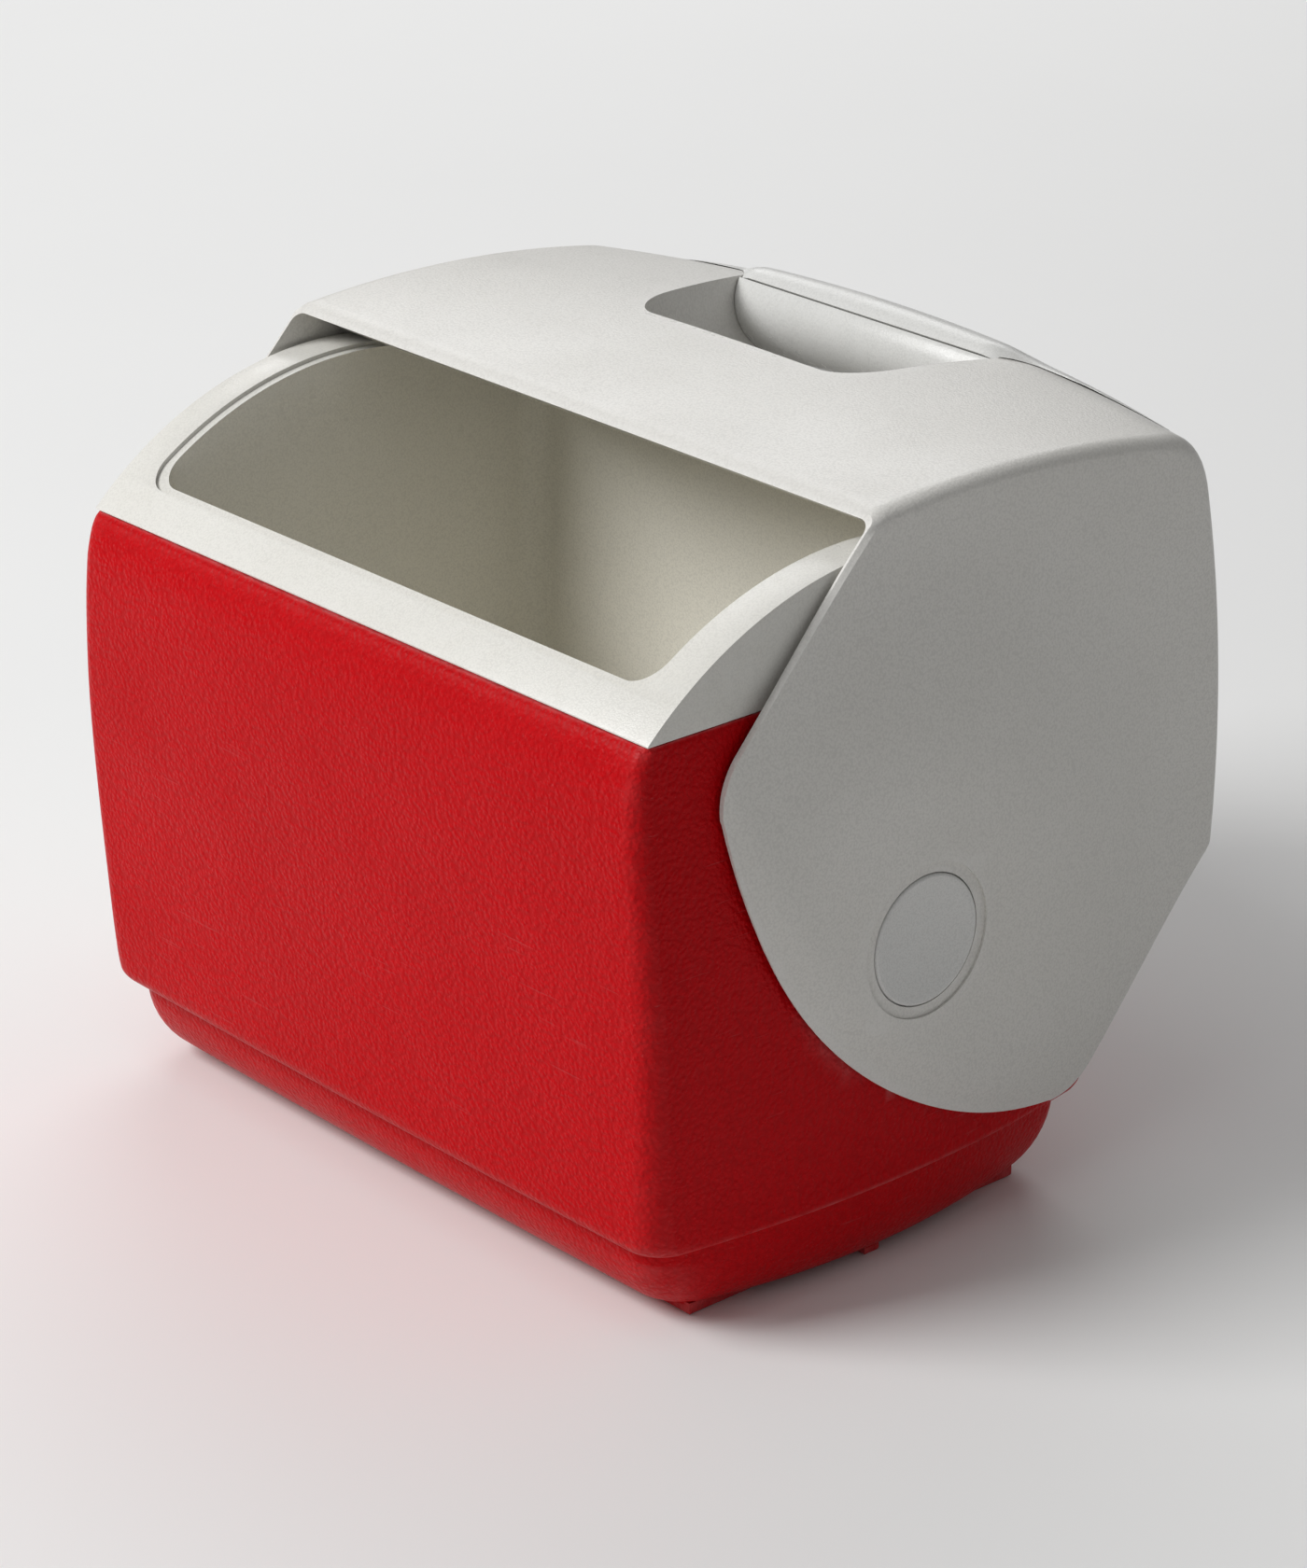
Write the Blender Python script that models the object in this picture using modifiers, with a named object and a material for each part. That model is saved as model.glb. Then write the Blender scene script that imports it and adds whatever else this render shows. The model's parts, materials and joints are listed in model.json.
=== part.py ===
"""Personal cooler with a swing lid: a moulded body on foot runners, a white food liner with a
cylindrical rim, and a tent-shaped lid whose two ears turn on side pivots. A push button in the
right ear carries the latch pin. Metres, +X to the button side, -Y to the front, +Z up."""

import math

import bmesh
import bpy
from mathutils import Matrix, Vector

# ---------------------------------------------------------------- driving dimensions
GAP = 0.0003                    # clearance between neighbours that touch

RIM_HALF_LENGTH = 0.1325        # body corners at the rim line
RIM_HALF_DEPTH = 0.0914
RIM_LINE_Z = 0.1918
STEP_Z = 0.0285                 # underside of the wall, where it overhangs the base band
# height, how far the side and front stand out past the rim, side bow and corner radius, going up
WALL_LEVELS = (
    (STEP_Z, -0.0025, -0.0042, 0.0105, 0.0105),
    (0.0297, 0.0010, -0.0009, 0.0086, 0.0098),
    (0.0325, 0.0020, 0.0006, 0.0070, 0.0092),
    (0.0400, 0.0026, 0.0012, 0.0053, 0.0086),
    (0.0700, 0.0038, 0.0026, 0.0042, 0.0078),
    (0.1050, 0.0047, 0.0041, 0.0034, 0.0070),
    (0.1350, 0.0037, 0.0056, 0.0039, 0.0064),
    (0.1600, 0.0020, 0.0061, 0.0040, 0.0060),
    (0.1760, 0.0010, 0.0054, 0.0030, 0.0056),
    (0.1850, 0.0005, 0.0036, 0.0016, 0.0050),
    (0.1895, 0.0002, 0.0016, 0.0006, 0.0044),
    (RIM_LINE_Z, -0.0003, -0.0003, 0.0000, 0.0040),
)
BAND_INSET_X = 0.0035           # the base band stands back from the rim line and rounds under
BAND_INSET_Y = 0.0052
BAND_BOW = 0.0110
BAND_CORNER = 0.0110
BAND_PULL_X = 0.0090
BAND_PULL_Y = 0.0190
FRONT_BOW = 0.0012
SHELL_WALL = 0.0024
FOOT_HEIGHT = 0.0030
FOOT_INSET_X = 0.0080           # the long feet stop this far inside the rim line
FOOT_INSET_Y = 0.0234
FOOT_WIDTH = 0.0250
RIB_INSET_X = 0.0005
RIB_WIDTH = 0.0060

PIVOT_Z = 0.0980                # height of the swing axis
SWING = 44.0                    # the lid stops this far to each side of closed, degrees
RIM_RADIUS = 0.1310             # the rim is part of a cylinder about the swing axis
LINER_WALL = 0.0022
CAVITY_INSET_X = 0.0187         # from the rim line to the food compartment at its floor
CAVITY_INSET_Y = 0.0179
CAVITY_DRAFT_X = 0.0032         # growth of the half sizes up to the rim
CAVITY_DRAFT_Y = 0.0053
CAVITY_FLOOR_Z = 0.0225
CAVITY_CORNER = 0.0090
CAVITY_TOP_Z = 0.2400           # above every point of the rim

WELL_Z = 0.1075                 # centre of the side wells that hold the pivots
WELL_RADIUS = 0.0375
WELL_DEPTH = 0.0101             # from the ears' flat face to the floor of the wells
HUB_THICKNESS = 0.0040
HUB_BOSS_RADIUS = 0.0070
HUB_BOSS_LENGTH = 0.0045
HUB_SCREW_CIRCLE = 0.0300
SCREW_RADIUS = 0.0015
SCREW_HEAD_RADIUS = 0.0030
SCREW_HEAD = 0.0020
HUB_SCREW_LENGTH = 0.0115
PIN_RADIUS = 0.0040
PIN_HEAD_RADIUS = 0.0056
PIN_HEAD = 0.0010
WASHER_RADIUS = 0.0080
WASHER_THICKNESS = 0.0006
RETAINER_RADIUS = 0.0065
RETAINER_THICKNESS = 0.0010
BEARING_CAP_RADIUS = 0.0085
BEARING_CAP_WALL = 0.0009

LID_OVERHANG = 0.0126           # the lid's front lower edge stands out past the rim line
LID_EDGE_Z = 0.1979
LID_TAPER = 0.0060              # the ears narrow downwards by this share
ROOF_PEAK_Z = 0.2868            # where the two slopes would meet, over the ears
ROOF_RADIUS = 0.4180            # each slope is slightly round
ROOF_CROWN = 0.0113             # the ridge rises this much more at its middle
RIDGE_HALF = 0.0140             # half width of the rounded ridge
ROOF_WALL = 0.0036              # measured straight down
EAR_STAND = 0.0033              # the ears' flat face stands out past the rim line
EAR_BULGE = 0.0085              # the ears bulge out around the pivots
BULGE_START = 0.0550
BULGE_END = 0.1350
EAR_WALL = 0.0021
EAR_FILLET = 0.0060
EAR_ARC_RADIUS = 0.1589         # round lower edge of the ears
EAR_ARC_Z = 0.2255
EAR_CORNER = 0.0115
BEVEL_ARC_RADIUS = 0.2006       # upper limit of the wide bevel along that edge
BEVEL_ARC_Z = 0.2803
BEVEL_DROP = 0.0024
PAN_RADIUS = 0.1335             # lid liner, inside radius
PAN_WALL = 0.0015
PAN_INSET_X = 0.0020            # lid liner ends inside the rim line
PAN_INSET_Y = 0.0164            # and its roll inside the lid's lower edge

BUTTON_OFFSET = 0.0123          # button centre above the swing axis, lid closed
BUTTON_RADIUS = 0.0208
BUTTON_CLEARANCE = 0.0004
BUTTON_TRAVEL = 0.0025
RING_RADIUS = 0.0248
RING_DEPTH = 0.0008
HOUSING_RADIUS = 0.0240
HOUSING_WALL = 0.0016
LATCH_RADIUS = 0.0030
LATCH_ENGAGED = 0.0010          # how far the latch pin stands in the slot
SPRING_RADIUS = 0.0054
SPRING_WIRE = 0.0005
SPRING_TURNS = 3.5

POCKET_HALF_DEPTH = 0.0600      # hand recess in the ridge
POCKET_FLOOR_Z = 0.2362
POCKET_WALL = 0.0020
GRIP_HALF_WIDTH = 0.0172
GRIP_SEAM_Z = 0.2835
GRIP_BOTTOM_Z = 0.2690
CAP_INSET = 0.0048              # tips of the grip cap, from the ears' flat face
CAP_RISE = 0.0018               # the cap stands this much over the ridge
HANDLE_SCREW_Z = 0.2740

# ---------------------------------------------------------------- sizes that follow from them
CAVITY_HALF_LENGTH = RIM_HALF_LENGTH - CAVITY_INSET_X
CAVITY_HALF_DEPTH = RIM_HALF_DEPTH - CAVITY_INSET_Y
LID_HALF_DEPTH = RIM_HALF_DEPTH + LID_OVERHANG
EAR_X = RIM_HALF_LENGTH + EAR_STAND
WELL_FLOOR_X = EAR_X - WELL_DEPTH
PAN_HALF_LENGTH = RIM_HALF_LENGTH - PAN_INSET_X
CAP_HALF_LENGTH = EAR_X - CAP_INSET
CUT_FROM_X = WELL_FLOOR_X - 0.0100      # cutters along X run between these two
CUT_TO_X = EAR_X + 0.0400

# ---------------------------------------------------------------- colours
RED = (0.550, 0.006, 0.010)
WHITE = (0.640, 0.640, 0.615)
CREAM = (0.640, 0.600, 0.490)
FOAM = (0.800, 0.740, 0.520)
GREY = (0.240, 0.240, 0.250)
STEEL = (0.560, 0.560, 0.570)

for item in list(bpy.data.objects):
    bpy.data.objects.remove(item, do_unlink=True)

parts = bpy.data.collections.new("swing_lid_cooler")
cutters = bpy.data.collections.new("cutters")
bpy.context.scene.collection.children.link(parts)
bpy.context.scene.collection.children.link(cutters)


# ---------------------------------------------------------------- small tools
def plastic(name, colour, roughness, metallic=0.0):
    """A Principled material for one sub-part."""
    surface = bpy.data.materials.new(name)
    surface.use_nodes = True
    shader = surface.node_tree.nodes["Principled BSDF"]
    shader.inputs["Base Color"].default_value = (*colour, 1.0)
    shader.inputs["Roughness"].default_value = roughness
    shader.inputs["Metallic"].default_value = metallic
    return surface


def place(name, mesh, surface=None):
    """Puts a mesh in the scene: a part if it has a surface, otherwise a cutter."""
    item = bpy.data.objects.new(name, mesh)
    if surface is None:
        cutters.objects.link(item)
        item.hide_render = True
        item.display_type = "WIRE"
    else:
        parts.objects.link(item)
        mesh.materials.clear()
        mesh.materials.append(surface)
    return item


def loft(name, rings, surface=None):
    """A closed solid through rings of equal length, capped at both ends."""
    mesh_data = bmesh.new()
    levels = [[mesh_data.verts.new(point) for point in ring] for ring in rings]
    count = len(levels[0])
    for lower, upper in zip(levels, levels[1:]):
        for i in range(count):
            j = (i + 1) % count
            mesh_data.faces.new((lower[i], lower[j], upper[j], upper[i]))
    mesh_data.faces.new(list(reversed(levels[0])))
    mesh_data.faces.new(levels[-1])
    bmesh.ops.recalc_face_normals(mesh_data, faces=mesh_data.faces)
    mesh = bpy.data.meshes.new(name)
    mesh_data.to_mesh(mesh)
    mesh_data.free()
    mesh.shade_smooth()
    mesh.set_sharp_from_angle(angle=math.radians(32))
    return place(name, mesh, surface)


def rod(name, radius, x_low, x_high, y, z, surface=None, segments=24):
    """A cylinder along X."""
    mesh_data = bmesh.new()
    turn = Matrix.Rotation(math.radians(90), 4, "Y")
    shift = Matrix.Translation(((x_low + x_high) / 2, y, z))
    bmesh.ops.create_cone(mesh_data, cap_ends=True, segments=segments, radius1=radius, radius2=radius,
                          depth=x_high - x_low, matrix=shift @ turn)
    mesh = bpy.data.meshes.new(name)
    mesh_data.to_mesh(mesh)
    mesh_data.free()
    mesh.shade_smooth()
    mesh.set_sharp_from_angle(angle=math.radians(32))
    return place(name, mesh, surface)


def box(name, low, high, surface=None):
    """A box between two corners."""
    mesh_data = bmesh.new()
    size = [b - a for a, b in zip(low, high)]
    centre = [(a + b) / 2 for a, b in zip(low, high)]
    bmesh.ops.create_cube(mesh_data, size=1.0, matrix=Matrix.Translation(centre) @ Matrix.Diagonal((*size, 1.0)))
    mesh = bpy.data.meshes.new(name)
    mesh_data.to_mesh(mesh)
    mesh_data.free()
    return place(name, mesh, surface)


def turned(name, profile, side, z, surface, steps=24, y=0.0):
    """A turned piece about an X axis at y and z. The profile lists (radius, distance from the
    middle plane), from its outermost end inwards; side is 1 for the right and -1 for the left."""
    mesh = bpy.data.meshes.new(name)
    edges = [(i, i + 1) for i in range(len(profile) - 1)]
    if profile[0][0] > 0:
        edges.append((len(profile) - 1, 0))
    mesh.from_pydata([(radius, 0.0, reach) for radius, reach in profile], edges, [])
    item = place(name, mesh, surface)
    screw = item.modifiers.new("turn", "SCREW")
    screw.steps = steps
    screw.render_steps = steps
    screw.use_merge_vertices = True
    screw.merge_threshold = 0.00001
    screw.use_smooth_shade = True
    item.rotation_euler = (0.0, math.radians(90 * side), 0.0)
    item.location = (0.0, y, z)
    return item


def screw(name, side, head_x, length, y, z, surface):
    """A pan head screw along X with its head outwards at head_x."""
    seat_x = head_x - SCREW_HEAD
    return turned(name, [
        (0.0, head_x), (SCREW_HEAD_RADIUS * 0.8, head_x), (SCREW_HEAD_RADIUS, head_x - 0.0006),
        (SCREW_HEAD_RADIUS, seat_x), (SCREW_RADIUS, seat_x), (SCREW_RADIUS, head_x - length),
        (0.0, head_x - length)], side, z, surface, 16, y)


def combine(target, tool, operation="DIFFERENCE"):
    """Adds a live exact Boolean."""
    step = target.modifiers.new(operation.lower(), "BOOLEAN")
    step.operation = operation
    step.object = tool
    step.solver = "EXACT"


def smoothstep(value):
    """0 below 0, 1 above 1, smooth between."""
    clipped = min(max(value, 0.0), 1.0)
    return clipped * clipped * (3.0 - 2.0 * clipped)


# ---------------------------------------------------------------- plan of the body
def plan_ring(z, half_x, half_y, bow_x, bow_y, corner):
    """A rectangle with bowed sides and rounded corners, at height z."""
    def side(y):
        return half_x + bow_x * (1.0 - (y / half_y) ** 2)

    def front(x):
        return half_y + bow_y * (1.0 - (x / half_x) ** 2)

    start = Vector((side(half_y - corner), half_y - corner))
    end = Vector((half_x - corner, front(half_x - corner)))
    slope_side = -2.0 * bow_x * start.y / half_y ** 2
    slope_front = -2.0 * bow_y * end.x / half_x ** 2
    knee_y = (end.y + slope_front * (start.x - slope_side * start.y - end.x)) / (1.0 - slope_front * slope_side)
    knee = Vector((start.x + slope_side * (knee_y - start.y), knee_y))
    quarter = [Vector((side(start.y * i / 5), start.y * i / 5)) for i in range(5)]
    for i in range(4):
        t = i / 3
        weight = (1 - t) ** 2 + 1.5 * t * (1 - t) + t ** 2
        quarter.append((start * (1 - t) ** 2 + knee * 1.5 * t * (1 - t) + end * t ** 2) / weight)
    quarter += [Vector((end.x * (3 - i) / 3, front(end.x * (3 - i) / 3))) for i in range(1, 4)]
    back = [Vector((-p.x, p.y)) for p in reversed(quarter[:-1])]
    half = quarter + back
    ring = half + [Vector((p.x, -p.y)) for p in reversed(half[1:-1])]
    return [(p.x, p.y, z) for p in ring]


def body_levels(offset, top):
    """Rings of the body for a surface that lies offset inside the outer one: band, step and wall."""
    rings = []
    round_steps = 4 if offset == 0.0 else 2
    drop = STEP_Z - FOOT_HEIGHT
    for i in range(round_steps + 1):
        angle = math.pi / 2 * (1.0 - i / round_steps)
        z = FOOT_HEIGHT + offset + (drop - offset) * (1.0 - math.sin(angle))
        pull = 1.0 - math.cos(angle)
        rings.append(plan_ring(z, RIM_HALF_LENGTH - BAND_INSET_X - BAND_PULL_X * pull - offset,
                               RIM_HALF_DEPTH - BAND_INSET_Y - BAND_PULL_Y * pull - offset, BAND_BOW, FRONT_BOW,
                               BAND_CORNER))
    wall = WALL_LEVELS if offset == 0.0 else WALL_LEVELS[3:]
    for z, out_x, out_y, bow, corner in wall:
        if z == RIM_LINE_Z:
            z = top
        rings.append(plan_ring(z, RIM_HALF_LENGTH + out_x - offset, RIM_HALF_DEPTH + out_y - offset, bow,
                               FRONT_BOW, corner))
    return rings


def body_solid(name, offset, top):
    """The whole volume inside the body wall, as a cutter."""
    return loft(name, body_levels(offset, top))


# ---------------------------------------------------------------- rim and food compartment
def rim_block(name, half_x, half_y, radius, low):
    """A block whose top is a cylinder about the swing axis."""
    reach = math.asin(half_y / radius)
    outline = [(-half_y, low)]
    for i in range(21):
        angle = -reach + 2 * reach * i / 20
        outline.append((radius * math.sin(angle), PIVOT_Z + radius * math.cos(angle)))
    outline.append((half_y, low))
    return loft(name, [[(x, y, z) for y, z in outline] for x in (-half_x, half_x)])


def compartment(name, offset):
    """The food compartment's volume, grown by offset."""
    rings = []
    for z, pull in ((CAVITY_FLOOR_Z - offset, 0.0080), (CAVITY_FLOOR_Z - offset + 0.0018, 0.0030),
                    (CAVITY_FLOOR_Z - offset + 0.0080, 0.0), (CAVITY_TOP_Z, 0.0)):
        share = (z - CAVITY_FLOOR_Z) / (CAVITY_TOP_Z - CAVITY_FLOOR_Z)
        half_x = CAVITY_HALF_LENGTH + CAVITY_DRAFT_X * share - pull + offset
        half_y = CAVITY_HALF_DEPTH + CAVITY_DRAFT_Y * share - pull + offset
        rings.append(plan_ring(z, half_x, half_y, 0.0, 0.0, CAVITY_CORNER - pull))
    return loft(name, rings)


def hub_screw_places():
    """Y and Z of the three hub screws."""
    return [(HUB_SCREW_CIRCLE * math.cos(math.radians(a)), WELL_Z + HUB_SCREW_CIRCLE * math.sin(math.radians(a)))
            for a in (90, 210, 330)]


def span(side, near, far):
    """The X range between two distances from the middle plane, on one side."""
    return (near, far) if side > 0 else (-far, -near)


SIDES = (("right", 1), ("left", -1))
HUB_FACE_X = WELL_FLOOR_X + GAP + HUB_THICKNESS
HUB_BOSS_X = WELL_FLOOR_X + GAP - HUB_BOSS_LENGTH
SCREW_TIP_X = HUB_FACE_X - HUB_SCREW_LENGTH

# outer shell: the moulded wall, its foot runners and its two side wells
outer_shell = loft("outer_shell", body_levels(0.0, RIM_LINE_Z - GAP), plastic("shell_red", RED, 0.42))
shell_space = body_solid("shell_space", SHELL_WALL, RIM_LINE_Z + 0.0200)
for label, side in SIDES:
    well_wall = rod(f"well_wall_{label}", WELL_RADIUS + SHELL_WALL,
                    *span(side, WELL_FLOOR_X - SHELL_WALL, CUT_TO_X), 0.0, WELL_Z, segments=48)
    combine(shell_space, well_wall)
combine(outer_shell, shell_space)
for label, side in SIDES:
    well = rod(f"well_{label}", WELL_RADIUS, *span(side, WELL_FLOOR_X, CUT_TO_X), 0.0, WELL_Z, segments=48)
    combine(outer_shell, well)
    boss_hole = rod(f"boss_hole_{label}", HUB_BOSS_RADIUS + GAP, *span(side, CUT_FROM_X, CUT_TO_X), 0.0, PIVOT_Z)
    combine(outer_shell, boss_hole)
    for number, (y, z) in enumerate(hub_screw_places()):
        hole = rod(f"shell_screw_hole_{label}_{number}", SCREW_RADIUS + GAP, *span(side, CUT_FROM_X, CUT_TO_X), y, z,
                   segments=12)
        combine(outer_shell, hole)
RUNNER_Y = RIM_HALF_DEPTH - FOOT_INSET_Y - FOOT_WIDTH / 2
for label, y, half, width in (("front", -RUNNER_Y, RIM_HALF_LENGTH - FOOT_INSET_X, FOOT_WIDTH),
                              ("rear", RUNNER_Y, RIM_HALF_LENGTH - FOOT_INSET_X, FOOT_WIDTH),
                              ("middle", 0.0, RIM_HALF_LENGTH - RIB_INSET_X, RIB_WIDTH)):
    runner = box(f"runner_{label}", (-half, y - width / 2, 0.0), (half, y + width / 2, FOOT_HEIGHT + SHELL_WALL / 2))
    combine(outer_shell, runner, "UNION")

# inner liner: rim with arched ends, and the food compartment hanging from it
LINER_RIM_X = RIM_HALF_LENGTH - 0.0004
LINER_RIM_Y = RIM_HALF_DEPTH - 0.0004
inner_liner = rim_block("inner_liner", LINER_RIM_X, LINER_RIM_Y, RIM_RADIUS, RIM_LINE_Z)
parts.objects.link(inner_liner)
cutters.objects.unlink(inner_liner)
inner_liner.hide_render = False
inner_liner.display_type = "TEXTURED"
inner_liner.data.materials.append(plastic("liner_white", WHITE, 0.38))
rim_space = rim_block("rim_space", LINER_RIM_X - LINER_WALL, LINER_RIM_Y - LINER_WALL, RIM_RADIUS - LINER_WALL, 0.15)
bucket = compartment("bucket", LINER_WALL)
bucket_top = rim_block("bucket_top", CUT_TO_X, LINER_RIM_Y - LINER_WALL / 2, RIM_RADIUS - LINER_WALL / 2, 0.0)
combine(bucket, bucket_top, "INTERSECT")
cavity = compartment("cavity", 0.0)
combine(inner_liner, rim_space)
combine(inner_liner, bucket, "UNION")
combine(inner_liner, cavity)

# foam core: fills the space between shell and liner
foam_core = loft("foam_core", body_levels(SHELL_WALL + GAP, RIM_LINE_Z - 2 * GAP), plastic("foam_yellow", FOAM, 0.90))
foam_arch = rim_block("foam_arch", LINER_RIM_X - LINER_WALL - 0.0030, LINER_RIM_Y - LINER_WALL - 0.0020,
                      RIM_RADIUS - LINER_WALL - GAP, 0.18)
combine(foam_core, foam_arch, "UNION")
combine(foam_core, compartment("bucket_room", LINER_WALL + GAP))
for label, side in SIDES:
    well_room = rod(f"well_room_{label}", WELL_RADIUS + SHELL_WALL + GAP,
                    *span(side, WELL_FLOOR_X - SHELL_WALL - GAP, CUT_TO_X), 0.0, WELL_Z, segments=48)
    combine(foam_core, well_room)
    cap_room = rod(f"cap_room_{label}", BEARING_CAP_RADIUS + GAP, *span(side, CUT_FROM_X, CUT_TO_X), 0.0, PIVOT_Z)
    combine(foam_core, cap_room)
    for number, (y, z) in enumerate(hub_screw_places()):
        hole = rod(f"foam_screw_hole_{label}_{number}", SCREW_RADIUS + GAP, *span(side, SCREW_TIP_X - GAP, CUT_TO_X),
                   y, z, segments=12)
        combine(foam_core, hole)

# ---------------------------------------------------------------- pivots in the side wells
HOUSING_FLOOR_X = HUB_FACE_X + 2 * GAP + WASHER_THICKNESS
EAR_INNER_X = EAR_X + EAR_BULGE - EAR_WALL
PIN_HEAD_X = HOUSING_FLOOR_X + HOUSING_WALL + GAP
PIN_TIP_X = HUB_BOSS_X - 2 * GAP - RETAINER_THICKNESS - 0.0005
BUTTON_Z = PIVOT_Z + BUTTON_OFFSET
grey_plastic = plastic("hub_grey", GREY, 0.50)
steel = plastic("fastener_steel", STEEL, 0.30, 1.0)


def latch_slot(name):
    """A slot along the latch pin's path about the swing axis, with round ends that stop the pin."""
    half_width = LATCH_RADIUS + GAP
    end = math.radians(SWING) + GAP / BUTTON_OFFSET
    outline = []
    for i in range(13):
        angle = -end + 2 * end * i / 12
        outline.append((BUTTON_OFFSET + half_width, angle, 0.0))
    for i in range(1, 8):
        outline.append((half_width, end, math.pi * i / 8))
    for i in range(13):
        angle = end - 2 * end * i / 12
        outline.append((BUTTON_OFFSET - half_width, angle, 0.0))
    for i in range(1, 8):
        outline.append((half_width, -end, math.pi + math.pi * i / 8))
    points = []
    for reach, angle, turn in outline:
        if turn == 0.0:
            points.append((reach * math.sin(angle), PIVOT_Z + reach * math.cos(angle)))
        else:
            y = BUTTON_OFFSET * math.sin(angle) + reach * math.sin(angle + turn)
            z = PIVOT_Z + BUTTON_OFFSET * math.cos(angle) + reach * math.cos(angle + turn)
            points.append((y, z))
    return loft(name, [[(x, y, z) for y, z in points] for x in (WELL_FLOOR_X, CUT_TO_X)])


for label, side in SIDES:
    hub_plate = rod(f"hub_plate_{label}", WELL_RADIUS - GAP, *span(side, WELL_FLOOR_X + GAP, HUB_FACE_X),
                    0.0, WELL_Z, grey_plastic, 48)
    boss = rod(f"hub_boss_{label}", HUB_BOSS_RADIUS, *span(side, HUB_BOSS_X, HUB_FACE_X - GAP), 0.0, PIVOT_Z)
    combine(hub_plate, boss, "UNION")
    bore = rod(f"hub_bore_{label}", PIN_RADIUS + GAP, *span(side, CUT_FROM_X, CUT_TO_X), 0.0, PIVOT_Z)
    combine(hub_plate, bore)
    if side > 0:
        combine(hub_plate, latch_slot("latch_slot"))
    for number, (y, z) in enumerate(hub_screw_places()):
        shank_hole = rod(f"hub_screw_hole_{label}_{number}", SCREW_RADIUS + GAP, *span(side, CUT_FROM_X, CUT_TO_X), y, z,
                         segments=12)
        head_hole = rod(f"hub_head_hole_{label}_{number}", SCREW_HEAD_RADIUS + GAP,
                        *span(side, HUB_FACE_X - SCREW_HEAD - 2 * GAP, CUT_TO_X), y, z, segments=20)
        combine(hub_plate, shank_hole)
        combine(hub_plate, head_hole)
        screw(f"hub_screw_{label}_{number + 1}", side, HUB_FACE_X - GAP, HUB_SCREW_LENGTH - GAP, y, z, steel)
    cap_open_x = WELL_FLOOR_X - SHELL_WALL - GAP
    cap_end_x = PIN_TIP_X - 0.0004 - BEARING_CAP_WALL
    turned(f"bearing_cap_{label}", [
        (0.0, cap_end_x + BEARING_CAP_WALL),
        (BEARING_CAP_RADIUS - BEARING_CAP_WALL, cap_end_x + BEARING_CAP_WALL),
        (BEARING_CAP_RADIUS - BEARING_CAP_WALL, cap_open_x),
        (BEARING_CAP_RADIUS, cap_open_x),
        (BEARING_CAP_RADIUS, cap_end_x),
        (0.0, cap_end_x)], side, PIVOT_Z, grey_plastic)

# ---------------------------------------------------------------- lid, modelled closed
lid_white = plastic("lid_white", WHITE, 0.40)
lid_pieces = []


def roof_height(x, y):
    """Height of the lid's two round slopes, with the ridge rounded and crowned along its length."""
    across = abs(y)
    low = Vector((LID_HALF_DEPTH, LID_EDGE_Z))
    peak = Vector((0.0, ROOF_PEAK_Z))
    chord = peak - low
    normal = Vector((-chord.y, chord.x)).normalized()
    sag = math.sqrt(ROOF_RADIUS ** 2 - (chord.length / 2) ** 2)
    centre = (low + peak) / 2 + normal * sag

    def slope(distance):
        return centre.y + math.sqrt(ROOF_RADIUS ** 2 - (distance - centre.x) ** 2)

    if across >= RIDGE_HALF:
        height = slope(across)
    else:
        fall = (RIDGE_HALF - centre.x) / math.sqrt(ROOF_RADIUS ** 2 - (RIDGE_HALF - centre.x) ** 2)
        height = slope(RIDGE_HALF) + fall * RIDGE_HALF / 2 * (1.0 - (across / RIDGE_HALF) ** 2)
    return height + ROOF_CROWN * (1.0 - (x / EAR_X) ** 2) * max(0.0, 1.0 - across / LID_HALF_DEPTH)


def ear_face(y, z):
    """Distance of the ear's outer face from the middle plane, before the bevel."""
    reach = math.hypot(y, z - PIVOT_Z)
    return EAR_X + EAR_BULGE * (1.0 - smoothstep((reach - BULGE_START) / (BULGE_END - BULGE_START)))


def ear_edge():
    """Y and Z along the ear's lower edge, 17 points from front to rear: arc and round corners."""
    def side(z):
        return LID_HALF_DEPTH - LID_TAPER * (LID_EDGE_Z - z)

    corner_z = PIVOT_Z
    for _ in range(20):
        corner_z = EAR_ARC_Z - math.sqrt(EAR_ARC_RADIUS ** 2 - side(corner_z) ** 2)
    corner = Vector((side(corner_z), corner_z))
    tangent = Vector((EAR_ARC_Z - corner.y, corner.x)).normalized()
    start = corner - tangent * EAR_CORNER
    end = Vector((side(corner.y + EAR_CORNER), corner.y + EAR_CORNER))
    half = []
    for i in range(6):
        y = start.x * i / 5
        half.append((y, EAR_ARC_Z - math.sqrt(EAR_ARC_RADIUS ** 2 - y ** 2)))
    half[-1] = (start.x, start.y)
    for t in (1 / 3, 2 / 3, 1.0):
        point = start * (1 - t) ** 2 + corner * 2 * t * (1 - t) + end * t ** 2
        half.append((point.x, point.y))
    return [(-y, z) for y, z in reversed(half[1:])] + half


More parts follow.
